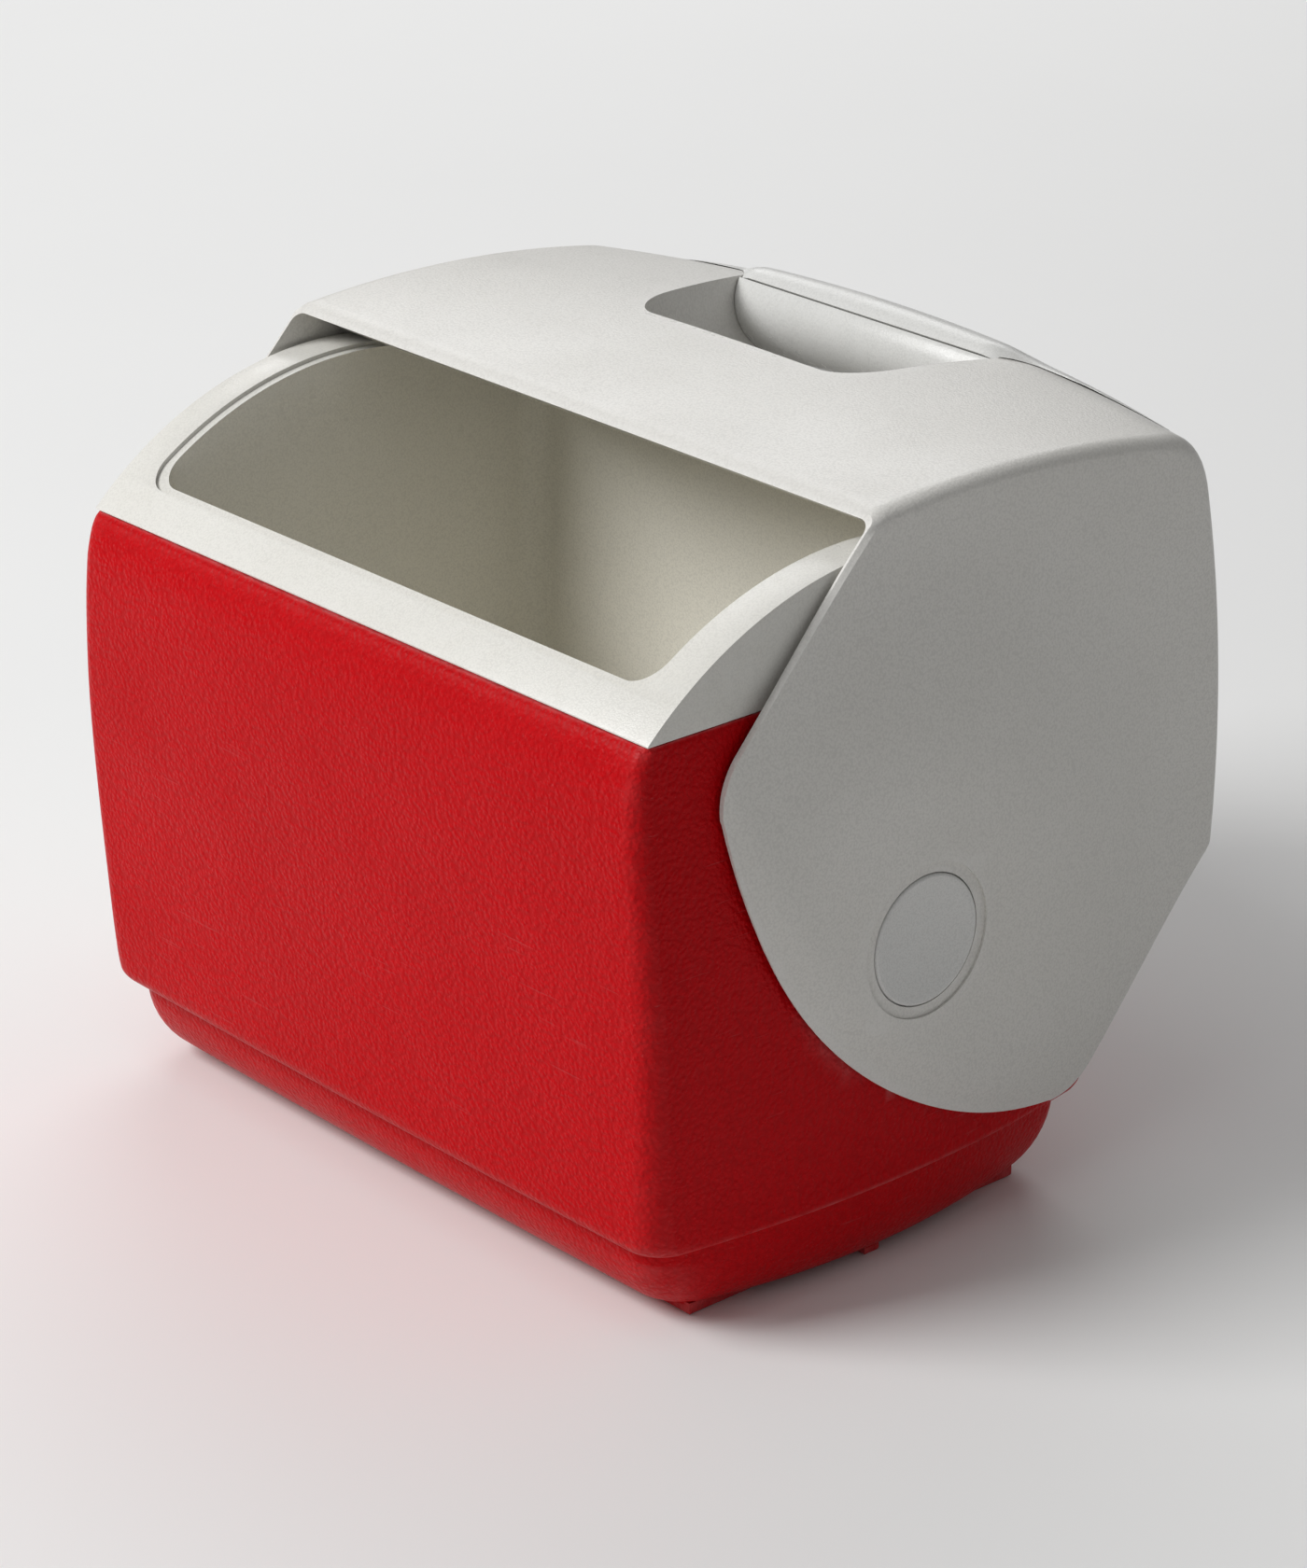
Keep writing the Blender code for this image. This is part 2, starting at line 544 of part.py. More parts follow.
def lid_ring(column, inset, spread, drop):
    """One slice through the lid, from the right ear's lower edge over the roof to the left one's.
    inset moves the surface inwards; spread and drop carry it past the open front, rear and bottom."""
    y_low, z_low = ear_edge()[column]
    y_low *= 1.0 + spread
    y_top = LID_HALF_DEPTH * (column - 8) / 8 * (1.0 + spread)
    bevel_z = BEVEL_ARC_Z - math.sqrt(BEVEL_ARC_RADIUS ** 2 - y_low ** 2)
    bevel_z = max(bevel_z, z_low + 0.0012)
    fall = BEVEL_DROP * min(1.0, (bevel_z - z_low) / 0.0145) if inset <= 0.0 else 0.0
    roof_inset = inset * ROOF_WALL / EAR_WALL
    fillet = max(EAR_FILLET - inset, 0.002)
    turn_x = EAR_X - inset - fillet
    top = roof_height(turn_x, y_top) - roof_inset - fillet
    right = [(ear_face(y_low, z_low) - fall - inset, y_low, z_low - drop)]
    for i in range(8):
        share = i / 7
        y = y_low + (y_top - y_low) * share
        z = bevel_z + (top - bevel_z) * share
        right.append((ear_face(y, z) - inset, y, z))
    for i in (1, 2, 3):
        angle = math.radians(30 * i)
        right.append((turn_x + fillet * math.cos(angle), y_top, top + fillet * math.sin(angle)))
    roof = []
    for i in range(1, 10):
        x = turn_x * (1 - i / 5)
        roof.append((x, y_top, roof_height(x, y_top) - roof_inset))
    return right + roof + [(-x, y, z) for x, y, z in reversed(right)]


def lid_solid(name, inset, spread=0.0, drop=0.0, surface=None):
    """The volume under the lid's surface."""
    return loft(name, [lid_ring(column, inset, spread, drop) for column in range(17)], surface)


def pocket(name, grow):
    """The hand recess through the ridge, grown by grow: sloped ends and a flat floor."""
    ends = ((0.0440, POCKET_FLOOR_Z), (0.0485, POCKET_FLOOR_Z + 0.0030), (0.0505, POCKET_FLOOR_Z + 0.0085),
            (0.0530, 0.2540), (0.0580, 0.2660), (0.0665, 0.2800), (0.0800, 0.3000))
    rings = []
    for y, narrow in ((-1.0, 0.90), (-0.985, 0.945), (-0.93, 0.975), (-0.80, 1.0), (0.80, 1.0), (0.93, 0.975),
                      (0.985, 0.945), (1.0, 0.90)):
        right = []
        for i, (x, z) in enumerate(ends):
            low = grow if i < 2 else 0.0
            right.append((x * narrow + grow, y * (POCKET_HALF_DEPTH + grow), z - low))
        rings.append(right + [(-x, y, z) for x, y, z in reversed(right)])
    return loft(name, rings)


lid_shell = lid_solid("lid_shell", 0.0, surface=lid_white)
lid_space = lid_solid("lid_space", EAR_WALL, 0.12, 0.02)
combine(lid_space, pocket("pocket_wall", POCKET_WALL))
combine(lid_shell, lid_space)
combine(lid_shell, pocket("pocket", 0.0))
EAR_OUTER_X = EAR_X + EAR_BULGE
lid_pieces.append(lid_shell)
HANDLE_SCREW_X = 0.0500
HANDLE_SCREW_LENGTH = 0.0190
for label, side in SIDES:
    ring_cut = rod(f"ring_cut_{label}", RING_RADIUS, *span(side, EAR_OUTER_X - RING_DEPTH, CUT_TO_X), 0.0, BUTTON_Z,
                   segments=48)
    ear_hole = rod(f"ear_hole_{label}", BUTTON_RADIUS + BUTTON_CLEARANCE, *span(side, EAR_X, CUT_TO_X), 0.0, BUTTON_Z,
                   segments=48)
    screw_way = rod(f"handle_screw_way_{label}", SCREW_RADIUS + GAP,
                    *span(side, HANDLE_SCREW_X - 0.002, HANDLE_SCREW_X + HANDLE_SCREW_LENGTH), 0.0, HANDLE_SCREW_Z,
                    segments=12)
    combine(lid_shell, ring_cut)
    combine(lid_shell, ear_hole)
    combine(lid_shell, screw_way)


def reach_under_roof(z):
    """How far from the ridge a piece at height z can reach under the lid's slope."""
    y = LID_HALF_DEPTH
    while roof_height(EAR_X, y) - ROOF_WALL - 3 * GAP < z:
        y -= 0.0001
    return y


# lid liner: a cylindrical skin that runs over the rim, with a flange to the lid's lower edges
pan_end = math.asin((LID_HALF_DEPTH - PAN_INSET_Y) / PAN_RADIUS)
flange_low = LID_EDGE_Z + 0.0004
flange_high = flange_low + PAN_WALL
inner_line = []
outer_line = []
for i in range(21):
    angle = -pan_end + 2 * pan_end * i / 20
    inner_line.append((PAN_RADIUS * math.sin(angle), PIVOT_Z + PAN_RADIUS * math.cos(angle)))
    outer = PAN_RADIUS + PAN_WALL
    outer_line.append((outer * math.sin(angle), PIVOT_Z + outer * math.cos(angle)))
low_y = reach_under_roof(flange_low)
high_y = reach_under_roof(flange_high)
pan_outline = [(-low_y, flange_low)] + inner_line + [(low_y, flange_low)]
pan_outline += [(high_y, flange_high)] + outer_line[::-1] + [(-high_y, flange_high)]
lid_liner = loft("lid_liner", [[(x, y, z) for y, z in pan_outline] for x in (-PAN_HALF_LENGTH, PAN_HALF_LENGTH)],
                 plastic("lid_liner_white", WHITE, 0.45))
lid_pieces.append(lid_liner)

# grip: a lower half fitted between the ends of the recess, and a cap with a long tip each way
grip_rings = []
cap_rings = []
for i in range(2):
    x = (-0.085, 0.085)[i]
    ring = [(x, GRIP_HALF_WIDTH * math.cos(math.radians(a)) if a else GRIP_HALF_WIDTH,
             GRIP_SEAM_Z - GAP / 2 - (GRIP_SEAM_Z - GAP / 2 - GRIP_BOTTOM_Z) * math.sin(math.radians(a)) ** 0.8)
            for a in range(0, 181, 15)]
    grip_rings.append(ring)
handle_grip = loft("handle_grip", grip_rings, plastic("grip_white", WHITE, 0.35))
pocket_room = pocket("pocket_room", -GAP)
combine(handle_grip, pocket_room, "INTERSECT")
lid_pieces.append(handle_grip)
stations = [-1.0, -0.97, -0.92, -0.84, -0.74, -0.62, -0.50, -0.42, -0.30, -0.15, 0.0]
stations += [-s for s in reversed(stations[:-1])]
for share in stations:
    x = CAP_HALF_LENGTH * share
    width = GRIP_HALF_WIDTH * (1.0 - smoothstep((abs(share) - 0.40) / 0.62)) + 0.0004
    crest = roof_height(x, 0.0) + CAP_RISE * math.sqrt(max(0.0, 1.0 - share ** 2)) - 0.0002
    base = min(GRIP_SEAM_Z + GAP / 2, crest - 0.006)
    cap_rings.append([(x, width * math.cos(math.radians(a)), base + (crest - base) * math.sin(math.radians(a)) ** 0.8)
                      for a in range(0, 181, 15)])
handle_cap = loft("handle_cap", cap_rings, plastic("cap_white", WHITE, 0.35))
cap_bed = lid_solid("cap_bed", -GAP)
combine(cap_bed, pocket_room)
combine(handle_cap, cap_bed)
lid_pieces.append(handle_cap)

for label, side in SIDES:
    head_x = HANDLE_SCREW_X + HANDLE_SCREW_LENGTH
    handle_screw = screw(f"handle_screw_{label}", side, head_x, HANDLE_SCREW_LENGTH, 0.0, HANDLE_SCREW_Z, steel)
    grip_way = rod(f"grip_screw_way_{label}", SCREW_RADIUS + GAP, *span(side, HANDLE_SCREW_X - GAP, head_x), 0.0,
                   HANDLE_SCREW_Z, segments=12)
    combine(handle_grip, grip_way)
    lid_pieces.append(handle_screw)

# pivot pieces carried by the ears
for label, side in SIDES:
    name = "button_housing" if side > 0 else "pivot_carrier_left"
    housing_open_x = EAR_INNER_X - GAP
    housing = turned(name, [
        (0.0, HOUSING_FLOOR_X + HOUSING_WALL),
        (HOUSING_RADIUS - HOUSING_WALL, HOUSING_FLOOR_X + HOUSING_WALL),
        (HOUSING_RADIUS - HOUSING_WALL, housing_open_x),
        (HOUSING_RADIUS, housing_open_x),
        (HOUSING_RADIUS, HOUSING_FLOOR_X),
        (0.0, HOUSING_FLOOR_X)], side, BUTTON_Z, grey_plastic, 36)
    pin_way = rod(f"pin_way_{label}", PIN_RADIUS + GAP, *span(side, CUT_FROM_X, CUT_TO_X), 0.0, PIVOT_Z)
    combine(housing, pin_way)
    if side > 0:
        latch_way = rod("latch_way", LATCH_RADIUS + GAP, CUT_FROM_X, CUT_TO_X, 0.0, BUTTON_Z)
        combine(housing, latch_way)
    pin = turned(f"pivot_pin_{label}", [
        (0.0, PIN_HEAD_X + PIN_HEAD),
        (PIN_HEAD_RADIUS, PIN_HEAD_X + PIN_HEAD),
        (PIN_HEAD_RADIUS, PIN_HEAD_X),
        (PIN_RADIUS, PIN_HEAD_X),
        (PIN_RADIUS, PIN_TIP_X),
        (0.0, PIN_TIP_X)], side, PIVOT_Z, steel)
    washer_x = HUB_FACE_X + GAP
    washer = turned(f"thrust_washer_{label}", [
        (PIN_RADIUS + GAP, washer_x + WASHER_THICKNESS),
        (WASHER_RADIUS, washer_x + WASHER_THICKNESS),
        (WASHER_RADIUS, washer_x),
        (PIN_RADIUS + GAP, washer_x)], side, PIVOT_Z, plastic(f"washer_{label}", CREAM, 0.5))
    retainer_x = PIN_TIP_X + 0.0005
    retainer = turned(f"pivot_retainer_{label}", [
        (PIN_RADIUS + GAP / 2, retainer_x + RETAINER_THICKNESS),
        (RETAINER_RADIUS, retainer_x + RETAINER_THICKNESS),
        (RETAINER_RADIUS, retainer_x),
        (PIN_RADIUS + GAP / 2, retainer_x)], side, PIVOT_Z, steel)
    lid_pieces += [housing, pin, washer, retainer]

# push button on the right, plain cap on the left
DISH = 0.0022
FACE_X = EAR_OUTER_X - 0.0002
BOSS_RADIUS = LATCH_RADIUS + GAP + 0.0012
BOSS_X = HOUSING_FLOOR_X + HOUSING_WALL + BUTTON_TRAVEL + 2 * GAP
FLANGE_X = EAR_INNER_X - GAP


def dish(radius):
    """Outer face of the button at a distance from its axis."""
    return FACE_X - DISH * (1.0 - (radius / (BUTTON_RADIUS - 0.0012)) ** 2)


button_face = [(BUTTON_RADIUS * 0.92 * i / 4, dish(BUTTON_RADIUS * 0.92 * i / 4)) for i in range(5)]
button_face += [(BUTTON_RADIUS - 0.0006, FACE_X), (BUTTON_RADIUS, FACE_X - 0.0006), (BUTTON_RADIUS, FLANGE_X),
                (BUTTON_RADIUS + 0.0011, FLANGE_X), (BUTTON_RADIUS + 0.0011, FLANGE_X - 0.0014),
                (BUTTON_RADIUS - 0.0015, FLANGE_X - 0.0014), (BUTTON_RADIUS - 0.0015, FACE_X - 0.0020)]
latch_top = dish(0.0) - 0.0016
push_button = turned("push_button", button_face + [
    (BOSS_RADIUS, dish(BOSS_RADIUS) - 0.0015), (BOSS_RADIUS, BOSS_X), (LATCH_RADIUS + GAP, BOSS_X),
    (LATCH_RADIUS + GAP, latch_top), (0.0, latch_top)], 1, BUTTON_Z, plastic("button_white", WHITE, 0.35), 36)
latch_pin = turned("latch_pin", [
    (0.0, latch_top - GAP), (LATCH_RADIUS, latch_top - GAP), (LATCH_RADIUS, HUB_FACE_X - LATCH_ENGAGED + 0.0006),
    (LATCH_RADIUS - 0.0006, HUB_FACE_X - LATCH_ENGAGED), (0.0, HUB_FACE_X - LATCH_ENGAGED)], 1, BUTTON_Z, steel)
pivot_cap = turned("pivot_cap_left", button_face + [(0.0, dish(0.0) - 0.0016)], -1, BUTTON_Z,
                   plastic("pivot_cap_white", WHITE, 0.40), 36)
lid_pieces += [push_button, latch_pin, pivot_cap]

# button spring: a coil round the button's boss
spring_low = HOUSING_FLOOR_X + HOUSING_WALL + GAP + SPRING_WIRE
spring_high = dish(SPRING_RADIUS) - 0.0015 - GAP - SPRING_WIRE
coil = bpy.data.curves.new("button_spring", "CURVE")
coil.dimensions = "3D"
coil.bevel_depth = SPRING_WIRE
coil.bevel_resolution = 2
coil.use_fill_caps = True
turns = coil.splines.new("POLY")
COIL_POINTS = 43
turns.points.add(COIL_POINTS - 1)
for i in range(COIL_POINTS):
    share = i / (COIL_POINTS - 1)
    angle = 2 * math.pi * SPRING_TURNS * share
    turns.points[i].co = (spring_low + (spring_high - spring_low) * share, SPRING_RADIUS * math.sin(angle),
                          SPRING_RADIUS * math.cos(angle), 1.0)
button_spring = bpy.data.objects.new("button_spring", coil)
parts.objects.link(button_spring)
coil.materials.append(plastic("spring_steel", STEEL, 0.3, 1.0))
button_spring.location = (0.0, 0.0, BUTTON_Z)
lid_pieces.append(button_spring)

# ---------------------------------------------------------------- the lid swung back onto its rear stop
lid_hinge = bpy.data.objects.new("lid_hinge", None)
parts.objects.link(lid_hinge)
lid_hinge.location = (0.0, 0.0, PIVOT_Z)
lid_hinge.rotation_euler = (math.radians(-SWING), 0.0, 0.0)
lid_cutters = [item for item in cutters.objects if item.name.startswith((
    "lid_space", "pocket", "ring_cut", "ear_hole", "handle_screw_way", "cap_bed", "grip_screw", "pin_way",
    "latch_way"))]
for piece in lid_pieces + lid_cutters:
    piece.parent = lid_hinge
    piece.matrix_parent_inverse = Matrix.Translation((0.0, 0.0, -PIVOT_Z))
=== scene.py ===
"""Looks of a swing-lid personal cooler, piece by piece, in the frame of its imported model.
Metres, +X to the side with the push button, -Y to the front, +Z up; the lid rests swung back."""

import json
import math

import bmesh
import bpy
from mathutils import Matrix, Vector


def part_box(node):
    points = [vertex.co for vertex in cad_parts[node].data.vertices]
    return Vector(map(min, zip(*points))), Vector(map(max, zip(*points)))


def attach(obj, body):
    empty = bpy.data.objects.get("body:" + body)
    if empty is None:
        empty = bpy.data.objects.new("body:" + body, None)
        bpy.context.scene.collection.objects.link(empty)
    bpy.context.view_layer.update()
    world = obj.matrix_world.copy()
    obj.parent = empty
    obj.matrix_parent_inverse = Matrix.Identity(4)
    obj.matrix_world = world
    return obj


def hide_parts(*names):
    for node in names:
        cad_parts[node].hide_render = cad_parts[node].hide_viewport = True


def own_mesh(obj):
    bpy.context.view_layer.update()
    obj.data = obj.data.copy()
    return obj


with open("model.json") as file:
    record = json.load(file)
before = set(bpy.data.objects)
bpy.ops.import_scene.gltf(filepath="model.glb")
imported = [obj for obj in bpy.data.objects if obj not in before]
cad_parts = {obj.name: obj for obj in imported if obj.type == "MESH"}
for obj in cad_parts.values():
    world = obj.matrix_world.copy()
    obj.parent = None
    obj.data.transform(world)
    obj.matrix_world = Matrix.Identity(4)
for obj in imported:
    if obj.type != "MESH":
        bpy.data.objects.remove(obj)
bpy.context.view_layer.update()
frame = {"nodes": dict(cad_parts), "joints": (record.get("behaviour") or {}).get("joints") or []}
cad = frame["nodes"]

# ---------------------------------------------------------------- camera
# A long lens stands to the right of the front and looks a little down on the cooler. The columns
# of its matrix are the view's right, up and backward directions, and the place it stands.
def placed(name, data):
    """A new object in the scene, at the origin."""
    piece = bpy.data.objects.new(name, data)
    bpy.context.scene.collection.objects.link(piece)
    return piece


view = bpy.data.cameras.new("view")
view.lens = 111.28
view.sensor_width = 36.0
viewer = placed("view", view)
view_right = Vector((0.6613, 0.7501, 0.0)).normalized()
view_back = Vector((0.6907, -0.6089, 0.3901)).normalized()
view_up = view_back.cross(view_right)
viewer.matrix_world = Matrix((
    (view_right.x, view_up.x, view_back.x, 1.0687),
    (view_right.y, view_up.y, view_back.y, -0.9146),
    (view_right.z, view_up.z, view_back.z, 0.7096),
    (0.0, 0.0, 0.0, 1.0)))
bpy.context.scene.camera = viewer

# ---------------------------------------------------------------- outer body
# The body is one thin moulding in pebble-grained red polypropylene. Its walls swell towards the
# middle, stand over a narrower base band, and end in a bright rounded shoulder under the rim.
BODY_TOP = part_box("outer_shell")[1].z
BODY_WALL = 0.0024
STEP_Z = 0.0285
FOOT_TOP_Z = 0.0030
BAND_HALF_X = 0.1290
BAND_HALF_Y = 0.0862
BAND_PULL_X = 0.0090
BAND_PULL_Y = 0.0190
BAND_BOW = 0.0110
BAND_CORNER = 0.0110
INNER_ROWS_FROM_Z = 0.0699
WELL_FLOOR_X = 0.1257
BOSS_HOLE_RADIUS = 0.0073
FOOT_HALF_X = 0.1245
FOOT_NEAR_Y = 0.0430
FOOT_FAR_Y = 0.0680
FOOT_HEIGHT = 0.0042
RIB_HALF_X = 0.1320
RIB_HALF_Y = 0.0030
CLEAR_X = 0.17
# height, half length, half depth, bow of the sides and corner radius, from the step up
WALL_ROWS = (
    (STEP_Z, 0.1300, 0.0872, 0.0105, 0.0105),
    (0.0297, 0.1335, 0.0905, 0.0086, 0.0098),
    (0.0325, 0.1345, 0.0920, 0.0070, 0.0092),
    (0.0400, 0.1351, 0.0926, 0.0053, 0.0086),
    (0.0700, 0.1363, 0.0940, 0.0042, 0.0078),
    (0.1050, 0.1372, 0.0955, 0.0034, 0.0070),
    (0.1350, 0.1362, 0.0970, 0.0039, 0.0064),
    (0.1600, 0.1345, 0.0975, 0.0040, 0.0060),
    (0.1760, 0.1335, 0.0968, 0.0030, 0.0056),
    (0.1850, 0.1330, 0.0950, 0.0016, 0.0050),
    (0.1895, 0.1327, 0.0930, 0.0006, 0.0044),
    (BODY_TOP, 0.1322, 0.0911, 0.0, 0.0040),
)


def body_outline(half_x, half_y, bow_x, corner, z, fine):
    """A rectangle with bowed sides and rounded corners; fine sets how many points it has."""
    bow_y = 0.0012

    def side(y):
        return half_x + bow_x * (1.0 - (y / half_y) ** 2)

    def front(x):
        return half_y + bow_y * (1.0 - (x / half_x) ** 2)

    start = Vector((side(half_y - corner), half_y - corner))
    end = Vector((half_x - corner, front(half_x - corner)))
    lean_side = -2.0 * bow_x * start.y / half_y ** 2
    lean_front = -2.0 * bow_y * end.x / half_x ** 2
    knee_y = end.y + lean_front * (start.x - lean_side * start.y - end.x)
    knee_y /= 1.0 - lean_front * lean_side
    knee = Vector((start.x + lean_side * (knee_y - start.y), knee_y))
    quarter = []
    for i in range(5 * fine):
        y = start.y * i / (5 * fine)
        quarter.append((side(y), y))
    for i in range(4 * fine):
        t = i / (4 * fine - 1)
        weight = (1 - t) ** 2 + 1.5 * t * (1 - t) + t ** 2
        point = (start * (1 - t) ** 2 + knee * 1.5 * t * (1 - t) + end * t ** 2) / weight
        quarter.append((point.x, point.y))
    for i in range(1, 6 * fine + 1):
        x = end.x * (6 * fine - i) / (6 * fine)
        quarter.append((x, front(x)))
    half = quarter + [(-x, y) for x, y in reversed(quarter[:-1])]
    return [(x, y, z) for x, y in half + [(x, -y) for x, y in reversed(half[1:-1])]]


def wall_row(z):
    """The wall's sizes at a height, on a smooth line through the rows of the table."""
    last = len(WALL_ROWS) - 1
    i = 0
    while i < last - 1 and z > WALL_ROWS[i + 1][0]:
        i += 1
    low, high = WALL_ROWS[i], WALL_ROWS[i + 1]
    span = high[0] - low[0]
    t = (z - low[0]) / span
    sizes = []
    for column in range(1, 5):
        rise = (high[column] - low[column]) / span
        before = rise
        after = rise
        if i > 0:
            before = (low[column] - WALL_ROWS[i - 1][column]) / (low[0] - WALL_ROWS[i - 1][0])
        if i < last - 1:
            after = (WALL_ROWS[i + 2][column] - high[column]) / (WALL_ROWS[i + 2][0] - high[0])
        start_lean = 2 * before * rise / (before + rise) if before * rise > 0 else 0.0
        end_lean = 2 * rise * after / (rise + after) if rise * after > 0 else 0.0
        sizes.append((2 * t ** 3 - 3 * t ** 2 + 1) * low[column]
                     + (t ** 3 - 2 * t ** 2 + t) * span * start_lean
                     + (3 * t ** 2 - 2 * t ** 3) * high[column]
                     + (t ** 3 - t ** 2) * span * end_lean)
    return sizes


def body_rings(offset, fine, rows):
    """Outlines of the base band and the wall, offset inwards, with rows between the table's rows."""
    rings = []
    for i in range(3 * rows + 1):
        angle = math.pi / 2 * (1.0 - i / (3 * rows))
        pull = 1.0 - math.cos(angle)
        z = FOOT_TOP_Z + offset + (STEP_Z - FOOT_TOP_Z - offset) * (1.0 - math.sin(angle))
        rings.append(body_outline(BAND_HALF_X - BAND_PULL_X * pull - offset,
                                  BAND_HALF_Y - BAND_PULL_Y * pull - offset, BAND_BOW, BAND_CORNER, z, fine))
    for low, high in zip(WALL_ROWS, WALL_ROWS[1:]):
        if offset > 0.0 and high[0] < INNER_ROWS_FROM_Z:
            continue
        for i in range(1, rows + 1):
            z = low[0] + (high[0] - low[0]) * i / rows
            half_x, half_y, bow, corner = wall_row(z)
            rings.append(body_outline(half_x - offset, half_y - offset, bow, corner, z, fine))
    return rings


def closed_mesh(name, points, faces):
    """An object from points and faces, with every face turned outwards."""
    mesh = bpy.data.meshes.new(name)
    mesh.from_pydata(points, [], faces)
    shell = bmesh.new()
    shell.from_mesh(mesh)
    bmesh.ops.recalc_face_normals(shell, faces=shell.faces)
    shell.to_mesh(mesh)
    shell.free()
    return placed(name, mesh)


def skinned(name, rings):
    """A closed solid through rings of equal length, capped at both ends."""
    count = len(rings[0])
    points = [point for ring in rings for point in ring]
    faces = []
    for row in range(len(rings) - 1):
        for i in range(count):
            j = (i + 1) % count
            faces.append((row * count + i, row * count + j,
                          (row + 1) * count + j, (row + 1) * count + i))
    faces.append(tuple(reversed(range(count))))
    faces.append(tuple(range((len(rings) - 1) * count, len(rings) * count)))
    return closed_mesh(name, points, faces)


def bar(name, radius, x_low, x_high, y, z, steps=96):
    """A round bar along X, used to cut or fill."""
    ring = [(radius * math.cos(2 * math.pi * i / steps), radius * math.sin(2 * math.pi * i / steps))
            for i in range(steps)]
    return skinned(name, [[(x, y + a, z + b) for a, b in ring] for x in (x_low, x_high)])


def on_side(side, near, far):
    """Both ends of a bar on the right side (1) or the left one (-1), the lower x first."""
    return sorted((side * near, side * far))


def baked(piece):
    """Turns a piece and its modifiers into a plain mesh."""
    bpy.context.view_layer.update()
    mesh = bpy.data.meshes.new_from_object(piece.evaluated_get(bpy.context.evaluated_depsgraph_get()))
    piece.modifiers.clear()
    piece.data = mesh
    return piece


def worked(piece, *steps):
    """Cuts tools out of a piece, or joins them to it, in order."""
    for operation, tool in steps:
        step = piece.modifiers.new("step", "BOOLEAN")
        step.operation = operation
        step.object = tool
        step.solver = "EXACT"
    baked(piece)
    for _, tool in steps:
        bpy.data.objects.remove(tool, do_unlink=True)
    return piece


def eased(piece, width, angle=40.0, segments=3):
    """Rounds the edges that turn by more than an angle and smooths the rest."""
    if width > 0.0:
        edge = piece.modifiers.new("edge", "BEVEL")
        edge.width = width
        edge.segments = segments
        edge.limit_method = "ANGLE"
        edge.angle_limit = math.radians(angle)
        edge.harden_normals = False
        edge.use_clamp_overlap = True
        baked(piece)
    piece.data.shade_smooth()
    piece.data.set_sharp_from_angle(angle=math.radians(angle))
    return piece


def pad(name, half_x, y_low, y_high, top, radius=0.0012):
    """A foot runner with a rounded underside, standing on the ground."""
    middle = (y_low + y_high) / 2
    half = (y_high - y_low) / 2
    corners = ((1, -1), (1, 1), (-1, 1), (-1, -1))
    rings = []
    for i in range(6):
        angle = math.pi / 2 * i / 5
        pull = radius * (1 - math.sin(angle))
        z = radius * (1 - math.cos(angle))
        rings.append([(x * (half_x - pull), middle + y * (half - pull), z) for x, y in corners])
    rings.append([(x * half_x, middle + y * half, top) for x, y in corners])
    return skinned(name, rings)


joints = {joint["name"]: joint for joint in frame["joints"]}
pivot = Vector(joints["lid_swing"]["pos_m"])
swing = math.radians(max(joints["lid_swing"]["range_deg"]) / 2)
plate_low, plate_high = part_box("hub_plate_right")
well_z = (plate_low.z + plate_high.z) / 2
well_radius = (plate_high.z - plate_low.z) / 2 + 0.0003
outer_body = skinned("cooler_wall", body_rings(0.0, 4, 4))
inner_rings = body_rings(BODY_WALL, 1, 2)
inside = skinned("inside", inner_rings + [[(x, y, BODY_TOP + 0.02) for x, y, _ in inner_rings[-1]]])
worked(inside, *[("DIFFERENCE", bar("well_wall", well_radius + BODY_WALL,
                                    *on_side(side, WELL_FLOOR_X - BODY_WALL, CLEAR_X), 0.0, well_z))
                 for side in (1, -1)])
body_cuts = [("DIFFERENCE", inside)]
for side in (1, -1):
    body_cuts.append(("DIFFERENCE", bar("well", well_radius, *on_side(side, WELL_FLOOR_X, CLEAR_X),
                                        0.0, well_z)))
    body_cuts.append(("DIFFERENCE", bar("boss_hole", BOSS_HOLE_RADIUS, *on_side(side, 0.12, 0.14),
                                        0.0, pivot.z, 32)))
worked(outer_body, *body_cuts)
worked(outer_body,
       ("UNION", pad("front_foot", FOOT_HALF_X, -FOOT_FAR_Y, -FOOT_NEAR_Y, FOOT_HEIGHT)),
       ("UNION", pad("rear_foot", FOOT_HALF_X, FOOT_NEAR_Y, FOOT_FAR_Y, FOOT_HEIGHT)),
       ("UNION", pad("middle_rib", RIB_HALF_X, -RIB_HALF_Y, RIB_HALF_Y, FOOT_HEIGHT)))
eased(outer_body, 0.0, 34.0)


def nodes_group(name, sockets):
    """An empty shader group with its inputs and outputs; gives the tree and its two end nodes."""
    tree = bpy.data.node_groups.new(name, "ShaderNodeTree")
    for in_out, kind, label, value in sockets:
        socket = tree.interface.new_socket(label, in_out=in_out, socket_type=kind)
        if value is not None:
            socket.default_value = value
    return tree, tree.nodes.new("NodeGroupInput"), tree.nodes.new("NodeGroupOutput")


def feed(tree, socket, value):
    """Gives a socket a number or a colour, or joins it to another node's output."""
    if isinstance(value, (int, float)):
        socket.default_value = value
    elif isinstance(value, tuple):
        socket.default_value = (*value, 1.0)
    else:
        tree.links.new(value, socket)


def maths(tree, operation, first, second, clamp=False):
    """A Math node between two sockets or numbers; gives its output."""
    node = tree.nodes.new("ShaderNodeMath")
    node.operation = operation
    node.use_clamp = clamp
    for socket, value in zip(node.inputs, (first, second)):
        feed(tree, socket, value)
    return node.outputs[0]


